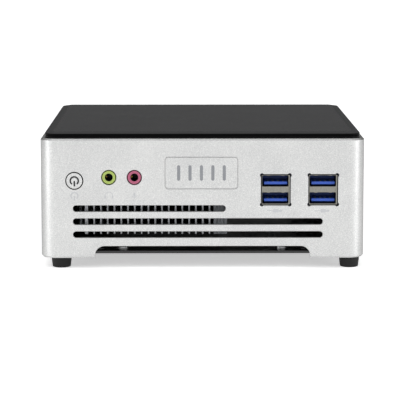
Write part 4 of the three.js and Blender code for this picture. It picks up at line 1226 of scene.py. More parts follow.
def makeVideoShell():
    low, high = span("video_shell")
    at = middle("video_shell")
    size = high - low
    rim, bevel = video["rim"], video["bevel"]
    x, y = size.x / 2 - rim, size.z / 2 - rim
    mouthOutline = polygon((-x, bevel - y), (bevel - x, -y), (x - bevel, -y), (x, bevel - y),
                           (x, y), (-x, y))
    x, y = size.x / 2, size.z / 2
    shape = Shape(turnedTo(at.x, high.y, at.z, "rear"))
    shape.pierced(rectangle(size.x, size.z, video["corner"], 3), [
        (-0.1, -size.y), (0, 0.1 - size.y), (0, -0.15), (-0.12, 0)],
        [[mouthOutline, [(0.2, 0), (0, -0.25), (0, -1.5)], 0, False]])
    # the lining behind the lips is black
    shape.loft(polygon((-x + rim, bevel - y + rim), (bevel - x + rim, -y + rim),
                       (x - bevel - rim, -y + rim), (x - rim, bevel - y + rim), (x - rim, y - rim),
                       (-x + rim, y - rim)), [(0.02, -size.y + 0.2), (0.02, -size.y + 0.9)], 1)
    mesh = shape.made(materials=[looks["portMetal"], looks["blackPlasticAndShade"]])
    addPiece("videoShell", mesh, "chassis", ["video_shell"])


def makeVideoTongue():
    low, high = span("video_tongue")
    at = middle("video_shell")
    face = span("video_shell")[1].y
    place = turnedTo(at.x, face, at.z, "rear")
    base = Shape(place)
    base.block((low.x - at.x, high.x - at.x), (low.z - at.z, high.z - at.z),
               (low.y - face, high.y - face), 0.2)
    half = (video["contacts"] - 1) / 2
    front = high.y - face
    pads = [place @ Vector(((i - half) * video["contactPitch"], low.z - at.z, front - 0.6))
            for i in range(video["contacts"])]
    pad = Shape(turnedTo(0, 0, 0, "rear"))
    pad.block((-0.22, 0.22), (-0.06, 0.1), (-4.5, 0), 0.03)
    mesh = repeated("videoTongue", pad.source(), pads, looks["gold"],
                    base.source(materials=[looks["blackTongue"]]))
    addPiece("videoTongue", mesh, "chassis", ["video_tongue"])


def makeNetworkPort():
    # a port with two lamps and sprung contacts
    low, high = span("network_port")
    at = middle("network_port")
    size = high - low
    place = turnedTo(at.x, high.y, at.z, "rear")
    shape = Shape(place)
    mouthOutline = polygon(*network["mouth"])
    lampX, lampY = network["lampX"], network["lampY"]
    wide, tall = network["lamp"]
    holes = [[mouthOutline, [(0.25, 0), (0.05, -0.3), (0, -0.8), (0, -network["depth"])], 1,
              True]]
    for toX in (-1, 1):
        holes.append([rectangle(wide, tall, 0.2, 3, toX * lampX, lampY),
                      [(0, 0), (0, -0.35)], 0, True])
    shape.pierced(rectangle(size.x, size.z, 0.4, 4), [
        (-0.1, -size.y), (0, 0.1 - size.y), (0, -0.2), (-0.18, 0)], holes)
    for toX, lampSlot in ((-1, 2), (1, 3)):
        shape.block((toX * lampX - wide / 2 + 0.1, toX * lampX + wide / 2 - 0.1),
                    (lampY - tall / 2 + 0.1, lampY + tall / 2 - 0.1), (-0.3, -0.06), 0.08,
                    lampSlot)
    half = (network["contacts"] - 1) / 2
    pads = [place @ Vector(((i - half) * network["contactPitch"], -4.6, -2.2))
            for i in range(network["contacts"])]
    # each contact is a sprung wire that rises towards the back
    wire = Shape(turnedTo(0, 0, 0, "rear"))
    wire.sweep(rectangle(0.34, 0.24, 0.08, 1), [(0, -0.7, 0), (0, -0.1, -1.0), (0, 1.6, -6.0),
                                                (0, 2.6, -9.0), (0, 2.6, -11.0)])
    mesh = repeated("networkPort", wire.source(), pads, looks["gold"], shape.source(
        materials=[looks["portMetal"], looks["blackPlasticAndShade"], looks["ledGreen"],
                   looks["ledAmber"]]))
    addPiece("networkPort", mesh, "chassis", ["network_port"])


def makeAerialSocket(side):
    node = f"antenna_jack_{side}"
    low, high = span(node)
    at = middle(node)
    nutFace = span(f"antenna_nut_{side}")[1].y
    place = turnedTo(at.x, high.y, at.z, "rear")
    length = high.y - low.y
    shape = Shape(place)
    barrel, bore = aerial["barrel"], aerial["bore"]
    shape.pierced(circle(0, 32), [
        (barrel - 0.1, -length), (barrel, 0.1 - length), (barrel, -0.45), (barrel - 0.3, 0)],
        [[circle(bore, 24), [(0.2, 0), (0, -0.25), (0, -aerial["boreDepth"])], 0, True]])
    half = aerial["flange"] / 2
    shape.block((-half, half), (-half, half), (-length + 0.1, -length + 1.6), 0.3)
    shape.loft(circle(0, 24), [(bore + 0.05, -aerial["boreDepth"] - 0.2), (bore + 0.05, -5.6),
                               (aerial["core"], -5.5), (aerial["core"], -2.2)], 1)
    shape.loft(circle(aerial["pinRadius"], 12), [(0, -2.4), (0, -1.4), (-0.15, -1.2)])
    tree = ShapeGraph(f"aerialThread{side}", {
        "Barrel": shape.source(materials=[looks["brass"], looks["ivory"]]),
        "Radius": aerial["barrel"] + 0.02, "Pitch": aerial["threadPitch"],
        "Length": high.y - nutFace - 0.6, "Depth": aerial["thread"], "Steps": 20,
        "Top Y": high.y - 0.45, "X": at.x, "Z": at.z, "Material": looks["brass"]})
    spiral = tree.shape("CurveSpiral", {}, {
        "Resolution": tree["Steps"], "Rotations": tree["Length"] / tree["Pitch"],
        "Start Radius": tree["Radius"], "End Radius": tree["Radius"],
        "Height": tree["Length"]})
    section = tree.shape("CurvePrimitiveCircle", {"mode": "RADIUS"},
                         {"Resolution": 4, "Radius": tree["Depth"]})
    thread = tree.shape("CurveToMesh", {}, {"Curve": spiral, "Profile Curve": section,
                                            "Fill Caps": True})
    thread = tree.shape("Transform", {}, {
        "Geometry": thread, "Rotation": (math.radians(90), 0, 0),
        "Translation": tree.combine(tree["X"], tree["Top Y"], tree["Z"])})
    mesh = tree.finish(thread, tree.object("Barrel"))
    addPiece(f"aerialSocket{side.capitalize()}", mesh, "chassis", [node], 50)


def makeAerialNut(side):
    low, high = span(f"antenna_nut_{side}")
    at = middle(f"antenna_jack_{side}")
    nut = Shape(turnedTo(at.x, high.y, at.z, "rear"))
    deep = high.y - low.y
    nut.pierced(hexagon(aerial["nutRadius"]), [(-0.3, -deep), (0, 0.2 - deep), (0, -0.2),
                                               (-0.3, 0)],
                [[circle(aerial["nutHole"], 24), bored(deep, 0.25), 0, False]])
    addPiece(f"aerialNut{side.capitalize()}", nut.made(materials=[looks["brass"]]), "chassis",
             [f"antenna_nut_{side}"], 30)


makeRearPlate()
makePowerInlet()
makeVideoShell()
makeVideoTongue()
makeNetworkPort()
for side in ("left", "right"):
    makeAerialSocket(side)
    makeAerialNut(side)
print("rear ports made")


# Cooler: heatsink over a blower, whose impeller turns on a shaft about a small motor

cooler = {"ear": 5.0, "drop": 7.3, "slab": 3.0, "finDepth": 24.0, "finPitch": 3.25, "fin": 0.8,
          "firstFin": 1.6, "finEdge": 0.12, "block": 6.4, "groove": 0.35, "grooves": 3, "pinRadius": 1.4,
          "pinInset": 2.8, "pinShort": 3.0, "pinPitch": 0.7, "pedestal": 30.0, "post": 3.0,
          "postHole": 1.8}
blower = {"wall": 1.6, "plate": 1.5, "corner": 6.0, "inlet": 19.0, "lip": 0.6, "sleeve": 3.16,
          "sleeveBore": 2.16, "sleeveBottom": 21.4, "tipTurn": 42.8}
fan = {"hub": 11.0, "hubWall": 1.5, "blades": 19, "blade": 0.9, "lean": 0.35, "reach": 15.6,
       "bow": 0.7, "bladeDrop": 1.0, "shaftHole": 1.1}
motor = {"poles": 6, "bore": 3.26, "core": 4.7, "neck": 0.8, "headInner": 7.5, "headTurn": 22,
         "winding": 1.75}


def aroundCentre(name, source, count, radius, centre, material, base):
    # copies of one source round a circle, each turned to face outwards
    tree = ShapeGraph(name, {
        "Source": source, "Base": base, "Count": count, "Radius": radius,
        "Centre X": centre.x, "Centre Y": centre.y, "Material": material})
    places = tree.shape("MeshCircle", {}, {"Vertices": tree["Count"], "Radius": tree["Radius"]})
    turn = tree.shape("InputIndex") * (2 * math.pi) / tree["Count"]
    copies = tree.moved(tree.copies(places, tree.object("Source"), turn),
                        tree.combine(tree["Centre X"], tree["Centre Y"]))
    return tree.finish(copies, tree.object("Base"))


def addEndBlock(base, low, high, back, bottom):
    # a solid block with grooves down its front
    x = high.x - cooler["block"]
    deep = cooler["groove"]
    corners = [(x, low.y)]
    for i in range(1, cooler["grooves"] + 1):
        grooveX = x + cooler["block"] * i / (cooler["grooves"] + 1)
        corners += [(grooveX + toX, low.y + toY)
                    for toX, toY in ((-0.3, 0), (-0.18, deep), (0.18, deep), (0.3, 0))]
    corners += [(high.x, low.y), (high.x, back), (x, back)]
    base.loft(polygon(*corners), [(-0.05, low.z), (0, low.z + 0.1), (0, bottom + 0.4)], 1)


def addGuidePin(base, x, y, z, top):
    # a threaded pin that hangs from the ear
    steps = [(-0.4, z), (-0.1, z + 0.3)]
    while z + 1.1 < top:
        z += cooler["pinPitch"]
        steps += [(0, z), (-0.2, z + cooler["pinPitch"] / 2)]
    steps.append((0, top + 0.3))
    base.loft(circle(cooler["pinRadius"], 20, x, y), steps, 2)


def makeHeatsink():
    low, high = span("heatsink")
    centre = middle("impeller")
    left, back = low.x + cooler["ear"], low.y + cooler["finDepth"]
    top = high.z - cooler["drop"]
    bottom = top - cooler["slab"]
    base = Shape()
    base.block((left, high.x), (low.y, high.y), (bottom, top), 0.25)
    ear = low.y + cooler["ear"]
    base.block((low.x, left + 1), (low.y, ear), (bottom + 0.01, top - 0.01), 0.25)
    firstRight = left + cooler["fin"]
    base.block((firstRight - cooler["firstFin"], firstRight), (low.y, back),
               (low.z, bottom + 0.4), cooler["finEdge"])
    half = cooler["pedestal"] / 2
    base.loft(rectangle(2 * half, 2 * half, 1.2, 4, centre.x, centre.y), [
        (0.6, top - 0.4), (0, top + 0.6), (0, high.z - 2.1), (-0.2, high.z - 1.9)])
    for node in sorted(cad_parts):
        if node.startswith("heatsink_screw"):
            at = middle(node)
            hole, post = cooler["postHole"], cooler["post"]
            base.tube(circle(0, 28, at.x, at.y), [
                (hole, top - 0.4), (post + 0.8, top - 0.4), (post + 0.5, top + 0.3),
                (post, top + 0.9), (post, high.z - 0.2), (post - 0.2, high.z),
                (hole + 0.2, high.z), (hole, high.z - 0.2)])
    addEndBlock(base, low, high, back, bottom)
    addGuidePin(base, left - cooler["pinInset"], low.y + cooler["ear"] / 2,
                low.z + cooler["pinShort"], bottom)
    fin = Shape()
    fin.block((0, cooler["fin"]), (low.y, back), (low.z, bottom + 0.4), cooler["finEdge"])
    right = high.x - cooler["block"] - left
    tree = ShapeGraph("heatsink", {
        "Base": base.source(materials=[looks["finMetal"], looks["castMetal"], looks["zinc"]]),
        "Fin": fin.source(), "Fin Count": int((right - cooler["fin"]) / cooler["finPitch"]),
        "Fin Pitch": cooler["finPitch"], "Left X": left, "Material": looks["finMetal"]})
    line = tree.shape("MeshLine", {}, {
        "Count": tree["Fin Count"], "Offset": tree.combine(tree["Fin Pitch"]),
        "Start Location": tree.combine(tree["Left X"] + tree["Fin Pitch"])})
    fins = tree.copies(line, tree.object("Fin"))
    addPiece("heatsink", tree.finish(fins, tree.object("Base")), "chassis", ["heatsink"])


def makeBlower():
    low, high = span("blower_housing")
    centre = middle("blower_housing")
    half = (high.x - low.x) / 2
    corner, wall = blower["corner"], blower["wall"]
    plate = high.z - blower["plate"]
    housing = Shape(standingAt(centre))
    square = rectangle(2 * half, 2 * half, corner, 8)
    housing.loft(square, [(0, plate), (0, high.z - 0.25), (-0.25, high.z)])
    at, inner, tip = half - corner, corner - wall, blower["tipTurn"]
    walls = polygon(*arc(at, -at, corner, -tip, 0), *arc(at, at, corner, 0, 90),
                    *arc(-at, at, corner, 90, 180), *arc(-at, -at, corner, 180, 180 + tip),
                    *arc(-at, at, inner, 180, 90), *arc(at, at, inner, 90, 0))
    housing.loft(walls, [(-0.08, low.z), (0, low.z + 0.1), (0, plate + 0.1)])
    bore = blower["sleeveBore"]
    housing.tube(circle(0, 24), [
        (bore, blower["sleeveBottom"]), (blower["sleeve"], blower["sleeveBottom"]),
        (blower["sleeve"], plate - 0.4), (blower["sleeve"] + 0.4, plate + 0.1),
        (bore, plate + 0.1)])
    addPiece("blowerHousing", housing.made(materials=[looks["fanPlastic"]]), "chassis",
             ["blower_housing"])


def makeBlowerCover():
    low, high = span("blower_cover")
    housingLow, housingHigh = span("blower_housing")
    side = housingHigh.x - housingLow.x
    square = rectangle(side, side, blower["corner"], 8)
    lip = blower["lip"]
    sheet = Shape(standingAt(middle("blower_housing")))
    sheet.pierced(square, eased(low.z, high.z, 0.2),
                  [[circle(blower["inlet"], 64), [
                      (0, high.z), (0, high.z - lip), (lip * 0.3, low.z + lip * 0.3),
                      (lip, low.z)], 0, False]])
    addPiece("blowerCover", sheet.made(materials=[looks["fanPlastic"]]), "chassis",
             ["blower_cover"])


def makeImpeller():
    low, high = span("impeller")
    centre = middle("impeller_shaft")
    hub, wall, hole = fan["hub"], fan["hubWall"], fan["shaftHole"]
    base = Shape(standingAt(centre))
    base.tube(circle(0, 48), [
        (hole, low.z), (hole + 1.2, low.z), (hole + 1.5, low.z + 0.25), (hub - 2.0, low.z + 0.25),
        (hub - 1.6, low.z), (hub - 0.5, low.z), (hub - 0.1, low.z + 0.15), (hub, low.z + 0.5),
        (hub, high.z - 0.15), (hub - 0.15, high.z), (hub - wall + 0.1, high.z),
        (hub - wall, high.z - 0.1), (hub - wall, low.z + wall), (hole, low.z + wall)])
    along = Vector((math.cos(fan["lean"]), math.sin(fan["lean"])))
    across = Vector((-along.y, along.x))
    sides = ([], [])
    for i in range(9):
        t = i / 8
        at = along * (fan["reach"] * t - 0.2) - across * (fan["bow"] * math.sin(math.pi * t))
        half = fan["blade"] / 2 * (1 - 0.4 * t)
        sides[0].append(tuple(at - across * half))
        sides[1].append(tuple(at + across * half))
    blade = Shape()
    top = high.z - fan["bladeDrop"]
    blade.loft(polygon(*sides[0], *sides[1][::-1]), [
        (-0.1, low.z + 0.05), (0, low.z + 0.2), (0, top - 0.15), (-0.1, top)])
    mesh = aroundCentre("impeller", blade.source(), fan["blades"], hub - 0.5, centre,
                        looks["fanPlastic"], base.source(materials=[looks["fanPlastic"]]))
    addPiece("impeller", mesh, "fan", ["impeller"])


def makeShaft():
    low, high = span("impeller_shaft")
    centre = middle("impeller_shaft")
    shaft = Shape()
    shaft.loft(circle((high.x - low.x) / 2, 20, centre.x, centre.y), [
        (-0.25, low.z), (0, low.z + 0.25), (0, high.z - 1.6), (-0.15, high.z - 1.5),
        (-0.15, high.z - 1.1), (0, high.z - 1.0), (0, high.z - 0.3), (-0.3, high.z)])
    addPiece("impellerShaft", shaft.made(materials=[looks["zinc"]]), "fan", ["impeller_shaft"])


def makeBearing():
    low, high = span("shaft_bearing")
    centre = middle("shaft_bearing")
    outer, bore = (high.x - low.x) / 2, span("impeller_shaft")[1].x - centre.x + 0.06
    bearing = Shape()
    bearing.tube(circle(0, 32, centre.x, centre.y), [
        (bore, low.z + 0.25), (bore + 0.25, low.z), (outer - 0.15, low.z), (outer, low.z + 0.15),
        (outer, high.z - 0.15), (outer - 0.15, high.z), (bore + 0.25, high.z),
        (bore, high.z - 0.25)])
    addPiece("bearing", bearing.made(materials=[looks["brass"]]), "chassis", ["shaft_bearing"])


def makeStator():
    # a star of steel poles with a coil on each neck
    low, high = span("motor_stator")
    centre = middle("shaft_bearing")
    outer = (high.x - low.x) / 2
    core = Shape()
    core.tube(circle(0, 36, centre.x, centre.y), [
        (motor["bore"], low.z), (motor["core"], low.z), (motor["core"], high.z),
        (motor["bore"], high.z)])
    for i in range(motor["poles"]):
        turn = math.radians(360 * i / motor["poles"])
        core.at = standingAt(centre) @ Matrix.Rotation(turn, 4, "Z")
        spread = motor["headTurn"]
        head = polygon(*arc(0, 0, outer - 0.02, -spread, spread, 6),
                       *arc(0, 0, motor["headInner"], spread, -spread, 6))
        neck = motor["neck"]
        core.block((motor["core"] - 0.3, motor["headInner"] + 0.3), (-neck, neck),
                   (low.z + 1.2, high.z - 1.2), 0.1)
        core.loft(head, [(0, low.z + 1.1), (0, high.z - 1.1)])
    coil = Shape()
    coil.block((0.1, motor["headInner"] - motor["core"] - 0.1),
               (-motor["winding"], motor["winding"]), (low.z + 0.3, high.z - 0.3), 0.7, steps=4)
    mesh = aroundCentre("statorCoils", coil.source(), motor["poles"], motor["core"], centre,
                        looks["winding"], core.source(materials=[looks["blackSteel"]]))
    addPiece("statorCoils", mesh, "chassis", ["motor_stator"])


makeHeatsink()
makeBlower()
makeBlowerCover()
makeImpeller()
makeShaft()
makeBearing()
makeStator()
print("cooler made")


# Main board, hung under the lid, with its processor and seeded small parts

board = {"corner": 5.5, "hole": 1.8, "edge": 0.1, "density": 0.035, "apart": 2.6, "seed": 11,
         "smallPart": (1.6, 0.8, 0.55), "partsX": (-66.0, 66.0), "partsY": (-34.0, 57.0),
         "chips": [(36, -40, 9, 9, 1.2), (-8, 22, 14, 14, 1.3), (22, 20, 7, 7, 1.0),
                   (30, 48, 6, 10, 1.4), (-33, 20, 8, 5, 1.1), (20, -20, 5, 8, 1.1)],
         "coils": [(47, -56), (54, -56), (61, -56), (-30, 52), (-23, 52)], "coil": (6.0, 2.8)}
processor = {"package": 1.1, "dies": [(-6.5, 0, 15, 12), (9.5, 1.0, 9, 8)],
             "caps": [(16.5, -6), (16.5, -3), (16.5, 0), (-17, -5), (-17, 0), (-17, 5)]}


def makeBoard():
    low, high = span("main_board")
    size, centre = high - low, middle("main_board")
    nodes = [n for n in sorted(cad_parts) if n.startswith(("board_screw", "heatsink_screw"))]
    holes = [[circle(board["hole"], 20, middle(n).x, middle(n).y),
              [(0, high.z), (0, low.z)], 0, False] for n in nodes]
    plate = Shape()
    plate.pierced(rectangle(size.x, size.y, board["corner"], 6, centre.x, centre.y),
                  eased(low.z, high.z, board["edge"]), holes)
    for x, y, wide, deep, tall in board["chips"]:
        plate.block((x - wide / 2, x + wide / 2), (y - deep / 2, y + deep / 2),
                    (high.z - 0.05, high.z + tall), 0.2, 1)
    wide, tall = board["coil"]
    for x, y in board["coils"]:
        plate.block((x - wide / 2, x + wide / 2), (y - wide / 2, y + wide / 2),
                    (high.z - 0.05, high.z + tall), 0.6, 2, 3)
    small = Shape()
    wide, deep, tall = board["smallPart"]
    small.block((-wide / 2, wide / 2), (-deep / 2, deep / 2), (-0.05, tall), 0.08)
    tree = ShapeGraph("mainBoard", {
        "Board": plate.source(materials=[looks["circuitBoard"], looks["chipBlack"],
                                         looks["chipGrey"]]),
        "Part": small.source(), "Top": high.z, "Centre Y": sum(board["partsY"]) / 2,
        "Width": board["partsX"][1] - board["partsX"][0],
        "Depth": board["partsY"][1] - board["partsY"][0],
        "Density": board["density"], "Apart": board["apart"], "Seed": board["seed"],
        "Material": looks["ceramic"]})
    area = tree.shape("MeshGrid", {}, {"Size X": tree["Width"], "Size Y": tree["Depth"],
                                       "Vertices X": 2, "Vertices Y": 2})
    spots = tree.shape("DistributePointsOnFaces", {"distribute_method": "POISSON"}, {
        "Mesh": area, "Distance Min": tree["Apart"], "Density Max": tree["Density"],
        "Seed": tree["Seed"]})
    quarter = tree.node("FunctionNodeRandomValue", {"data_type": "INT"},
                        {"Min": 0, "Max": 1, "Seed": tree["Seed"]}, "Value")
    parts = tree.moved(tree.copies(spots, tree.object("Part"), quarter * (math.pi / 2)),
                       tree.combine(y=tree["Centre Y"], z=tree["Top"]))
    addPiece("mainBoard", tree.finish(parts, tree.object("Board")), "chassis", ["main_board"])


def makeProcessor():
    # dies and small capacitors on a package that faces down to the heatsink
    low, high = span("processor")
    centre = middle("processor")
    shape = Shape(turnedTo(centre.x, centre.y, high.z, "bottom"))
    halfX, halfY, thick = (high.x - low.x) / 2, (high.y - low.y) / 2, high.z - low.z
    shape.block((-halfX, halfX), (-halfY, halfY), (0, processor["package"]), 0.12)
    for x, y, wide, deep in processor["dies"]:
        shape.block((x - wide / 2, x + wide / 2), (y - deep / 2, y + deep / 2),
                    (processor["package"] - 0.05, thick), 0.08, 1)
    for x, y in processor["caps"]:
        shape.block((x - 0.8, x + 0.8), (y - 0.5, y + 0.5),
                    (processor["package"] - 0.05, processor["package"] + 0.5), 0.1, 2)
    mesh = shape.made(materials=[looks["circuitBoard"], looks["chipGrey"], looks["ceramic"]])
    addPiece("processor", mesh, "chassis", ["processor"])


# Cards in their sockets, coin cell, radio and switch

socket = {"arm": 2.2, "depth": 7.0, "pinPitch": 1.2, "pin": 0.35, "slack": 0.1, "bevel": 0.6}
card = {"thickness": 1.1, "notch": 1.1, "notchShare": 0.55, "padPitch": 0.6, "padInset": 1.6,
        "screwHole": 1.8, "memoryChips": [(i * 15 - 22.5, 11.8, 9, 11) for i in range(4)],
        "driveChips": [(-6.7, 9.8, 11.5, 17), (6.7, 9.8, 11.5, 17)]}
standoff = {"radius": 3.0, "head": 2.6, "headHeight": 1.2}
latch = {"leaf": 0.5, "hook": 6.0}
cell = {"wall": 1.2, "floor": 0.8, "gap": 22, "cap": 8.4}
radioCan = {"board": 0.7, "inset": 0.5, "front": 4.0, "plugInset": 3.0, "plugY": 2.0,
            "plug": 1.1}
tact = {"size": 6.0, "plate": 0.35, "rivet": 0.5, "rivetPlace": 2.2, "hole": 1.3}


def makeEdgeSocket(name, node, cardNode, arm):
    # a slotted bar for a card's edge, its soldered pins, and arms beside the card where it has any
    low, high = span(node)
    cardLow, cardHigh = span(cardNode)
    slack, bevel = socket["slack"], socket["bevel"]
    back = low.y + socket["depth"]
    grooveY = cardLow.y - slack
    bottom, top = cardLow.z - slack, cardLow.z + card["thickness"] + slack
    shape = Shape(turnedTo(0, 0, 0, "right"))
    shape.loft(polygon((low.y, low.z), (back, low.z), (back, bottom), (grooveY, bottom),
                       (grooveY, top), (back, top), (back, high.z - bevel),
                       (back - bevel, high.z), (low.y + bevel, high.z),
                       (low.y, high.z - bevel)),
               [(0, cardLow.x - slack), (0, cardHigh.x + slack)])
    shape.at = Matrix()
    for x in ((low.x, cardLow.x - slack), (cardHigh.x + slack, high.x)):
        shape.block(x, (low.y, back), (low.z, high.z), 0.25)
    if arm:
        for x in ((low.x, low.x + socket["arm"]), (high.x - socket["arm"], high.x)):
            shape.block(x, (back - 1, high.y), (low.z, bottom), 0.25)
    pitch, pin = socket["pinPitch"], socket["pin"]
    count = int((cardHigh.x - cardLow.x - 2) / pitch)
    pins = [((low.x + high.x) / 2 + (i - (count - 1) / 2) * pitch, low.y, low.z)
            for i in range(count)]
    foot = Shape()
    foot.block((-pin / 2, pin / 2), (-0.9, 0.3), (0, pin), 0.05)
    foot.block((-pin / 2, pin / 2), (-0.2, 0.3), (0, 1.2), 0.05)
    mesh = repeated(name, foot.source(), pins, looks["gold"],
                    shape.source(materials=[looks["socketPlastic"]]))
    addPiece(name, mesh, "chassis", [node])


def makeCard(name, node, chips, screwY=None):
    # a circuit card with a notch at each side, its chips, and contacts along its front edge
    low, high = span(node)
    x = (low.x + high.x) / 2
    half, deep = (high.x - low.x) / 2, high.y - low.y
    top = low.z + card["thickness"]
    notch, notchY = card["notch"], deep * card["notchShare"]
    shape = Shape(Matrix.Translation((x, low.y, 0)))
    outline = polygon((-half, 0), (half, 0), (half, notchY - notch),
                      *arc(half, notchY, notch, 270, 90, 6), (half, deep), (-half, deep),
                      *arc(-half, notchY, notch, 90, -90, 6))
    holes = []
    if screwY is not None:
        holes = [[circle(card["screwHole"], 20, 0, screwY - low.y), [(0, top), (0, low.z)], 0,
                  False]]
    shape.pierced(outline, [(0, low.z), (0, top)], holes)
    for chipX, chipY, wide, long in chips:
        shape.block((chipX - wide / 2, chipX + wide / 2), (chipY, chipY + long),
                    (top - 0.05, high.z), 0.12, 1)
        shape.loft(circle(0.45, 12, chipX - wide / 2 + 1.1, chipY + 1.1),
                   [(0, high.z - 0.05), (0, high.z - 0.005)], 2)
    pitch = card["padPitch"]
    count = int((2 * half - 3) / pitch)
    pads = [(x + (i - (count - 1) / 2) * pitch, low.y + card["padInset"], top)
            for i in range(count)]
    pad = Shape()
    pad.block((-0.18, 0.18), (-1.2, 1.2), (-0.03, 0.03), 0.01)
    mesh = repeated(name, pad.source(), pads, looks["gold"], shape.source(
        materials=[looks["circuitBoard"], looks["chipBlack"], looks["chipGrey"]]))
    addPiece(name, mesh, "chassis", [node])


def makeLatches():
    for side, out in (("left", -1), ("right", 1)):
        low, high = span(f"memory_latch_{side}")
        outer = high.x if out > 0 else low.x
        inner = low.x if out > 0 else high.x
        leaf = latch["leaf"]
        shape = Shape()
        shape.block(sorted((outer - out * leaf, outer)), (low.y, high.y), (low.z, high.z), 0.08)
        shape.block(sorted((inner, outer - out * 0.1)), (high.y - latch["hook"], high.y),
                    (high.z - leaf, high.z), 0.08)
        # a pressed rib stiffens the leaf
        shape.block(sorted((outer - out * 0.25, outer - out * 0.02)),
                    (low.y + 3, high.y - latch["hook"] - 2), (low.z + 1.4, high.z - 1.4), 0.1)
        addPiece(f"latch{side.capitalize()}", shape.made(materials=[looks["zinc"]]),
                 f"latch_{side}", [f"memory_latch_{side}"])


def makeDriveScrew():
    low, high = span("drive_card_screw")
    at = middle("drive_card_screw")
    cardLow = span("drive_card")[0]
    headBottom = high.z - standoff["headHeight"]
    shape = Shape(standingAt(at))
    shape.loft(hexagon(standoff["radius"]), eased(low.z, cardLow.z - 0.1, 0.2))
    shape.loft(circle(screw["radius"], 20), [(0, cardLow.z - 0.3), (0, headBottom + 0.2)], 1)
    top = high.z
    shape.pierced(circle(standoff["head"], 28), [
        (-0.1, headBottom), (0, headBottom + 0.1), (0, top - 0.5), (-0.25, top - 0.12),
        (-0.6, top)], [[cross(1.3, 0.35), [(0.05, top), (0, top - 0.1), (-0.15, top - 0.7)], 1,
                        True]], 1)
    mesh = shape.made(materials=[looks["brass"], looks["zinc"]])
    addPiece("driveCardScrew", mesh, "chassis", ["drive_card_screw"])


def makeCellHolder():
    low, high = span("coin_cell_holder")
    outer = (high.x - low.x) / 2
    shape = Shape(standingAt(middle("coin_cell")))
    shape.loft(circle(outer, 48), [(-0.2, low.z), (0, low.z + 0.2), (0, low.z + cell["floor"])])
    gap = cell["gap"]
    arcBand(shape, outer, cell["wall"], gap - 90, 270 - gap, low.z + cell["floor"] - 0.05,
            high.z - low.z - cell["floor"] + 0.05, steps=40)
    # a sprung contact crosses the cell
    shape.sweep(rectangle(2.4, 0.3, 0.1, 2), [
        (outer - 0.6, 0, high.z - 0.3), (6, 0, high.z - 0.25),
        (2, 0, high.z - 0.45), (-2, 0, high.z - 0.25)], 1)
    mesh = shape.made(materials=[looks["socketPlastic"], looks["gold"]])
    addPiece("coinCellHolder", mesh, "chassis", ["coin_cell_holder"])


def makeCell():
    low, high = span("coin_cell")
    radius = (high.x - low.x) / 2
    cap = radius - cell["cap"]
    disc = Shape(standingAt(middle("coin_cell")))
    disc.loft(circle(radius, 48), [
        (-cap - 0.1, low.z), (-cap, low.z + 0.1), (-cap, low.z + 0.5), (-0.6, low.z + 0.6),
        (-0.15, low.z + 0.75), (0, low.z + 1.0), (0, high.z - 0.4), (-0.12, high.z - 0.12),
        (-0.4, high.z)])
    addPiece("coinCell", disc.made(materials=[looks["cellSteel"]]), "chassis", ["coin_cell"])


def makeRadio():
    low, high = span("radio_module")
    inset, thick = radioCan["inset"], radioCan["board"]
    shape = Shape()
    shape.block((low.x, high.x), (low.y, high.y), (low.z, low.z + thick), 0.1)
    shape.block((low.x + inset, high.x - inset), (low.y + radioCan["front"], high.y - inset),
                (low.z + thick - 0.05, high.z), 0.3, 1, 3)
    for side in (-1, 1):
        x = side * (high.x - radioCan["plugInset"])
        shape.tube(circle(0, 20, x, low.y + radioCan["plugY"]), [
            (0.5, low.z + thick - 0.05), (radioCan["plug"], low.z + thick - 0.05),
            (radioCan["plug"], high.z - 0.6), (0.5, high.z - 0.6)], 2)
    mesh = shape.made(materials=[looks["circuitBoard"], looks["portMetal"], looks["gold"]])
    addPiece("radioModule", mesh, "chassis", ["radio_module"])


def makePowerSwitch():
    low, high = span("power_switch")
    axis = middle("switch_plunger")
    half = tact["size"] / 2
    plate = tact["plate"]
    shape = Shape(turnedTo(axis.x, low.y, axis.z, "front"))
    depth = low.y - high.y
    hole = circle(tact["hole"], 24)
    shape.pierced(rectangle(2 * half, 2 * half, 0.3, 3), [
        (-0.1, depth), (0, depth + 0.1), (0, -plate), (-0.1, -plate)],
        [[hole, [(0, -plate), (0, -2.2)], 0, True]])
    shape.pierced(rectangle(2 * half - 0.1, 2 * half - 0.1, 0.4, 3), [
        (0, -plate - 0.05), (0, -0.05), (-0.05, 0)],
        [[hole, [(0.15, 0), (0, -0.12), (0, -plate - 0.05)], 1, False]], 1)
    for toX in (-1, 1):
        for toY in (-1, 1):
            shape.loft(circle(tact["rivet"], 14, toX * tact["rivetPlace"],
                              toY * tact["rivetPlace"]),
                       [(0, -0.25), (0, -0.02), (-0.1, 0)])
    # a bracket carries the switch from the board
    shape.block((-half * 0.6, half * 0.6), (half - 0.3, high.z - axis.z),
                (depth + 0.2, -plate - 0.6), 0.15)
    mesh = shape.made(materials=[looks["portBlack"], looks["zinc"]])
    addPiece("powerSwitch", mesh, "chassis", ["power_switch"])


def makePlunger():
    low, high = span("switch_plunger")
    axis = middle("switch_plunger")
    pusher = Shape(turnedTo(axis.x, low.y, axis.z, "front"))
    pusher.loft(circle((high.x - low.x) / 2, 24), [
        (-0.1, low.y - high.y), (0, low.y - high.y + 0.1), (0, -0.3), (-0.08, -0.12), (-0.3, 0)])
    addPiece("switchPlunger", pusher.made(materials=[looks["blackTongue"]]), "button",
             ["switch_plunger"])


makeBoard()
makeProcessor()
makeEdgeSocket("memorySocket", "memory_socket", "memory_module", True)
makeCard("memoryModule", "memory_module", card["memoryChips"])
makeLatches()
makeEdgeSocket("driveSocket", "drive_socket", "drive_card", False)
makeCard("driveCard", "drive_card", card["driveChips"], middle("drive_card_screw").y)
makeDriveScrew()
makeCellHolder()
makeCell()
makeRadio()
makePowerSwitch()
makePlunger()
print("boards, cards and small parts made")


# Floor, light and camera

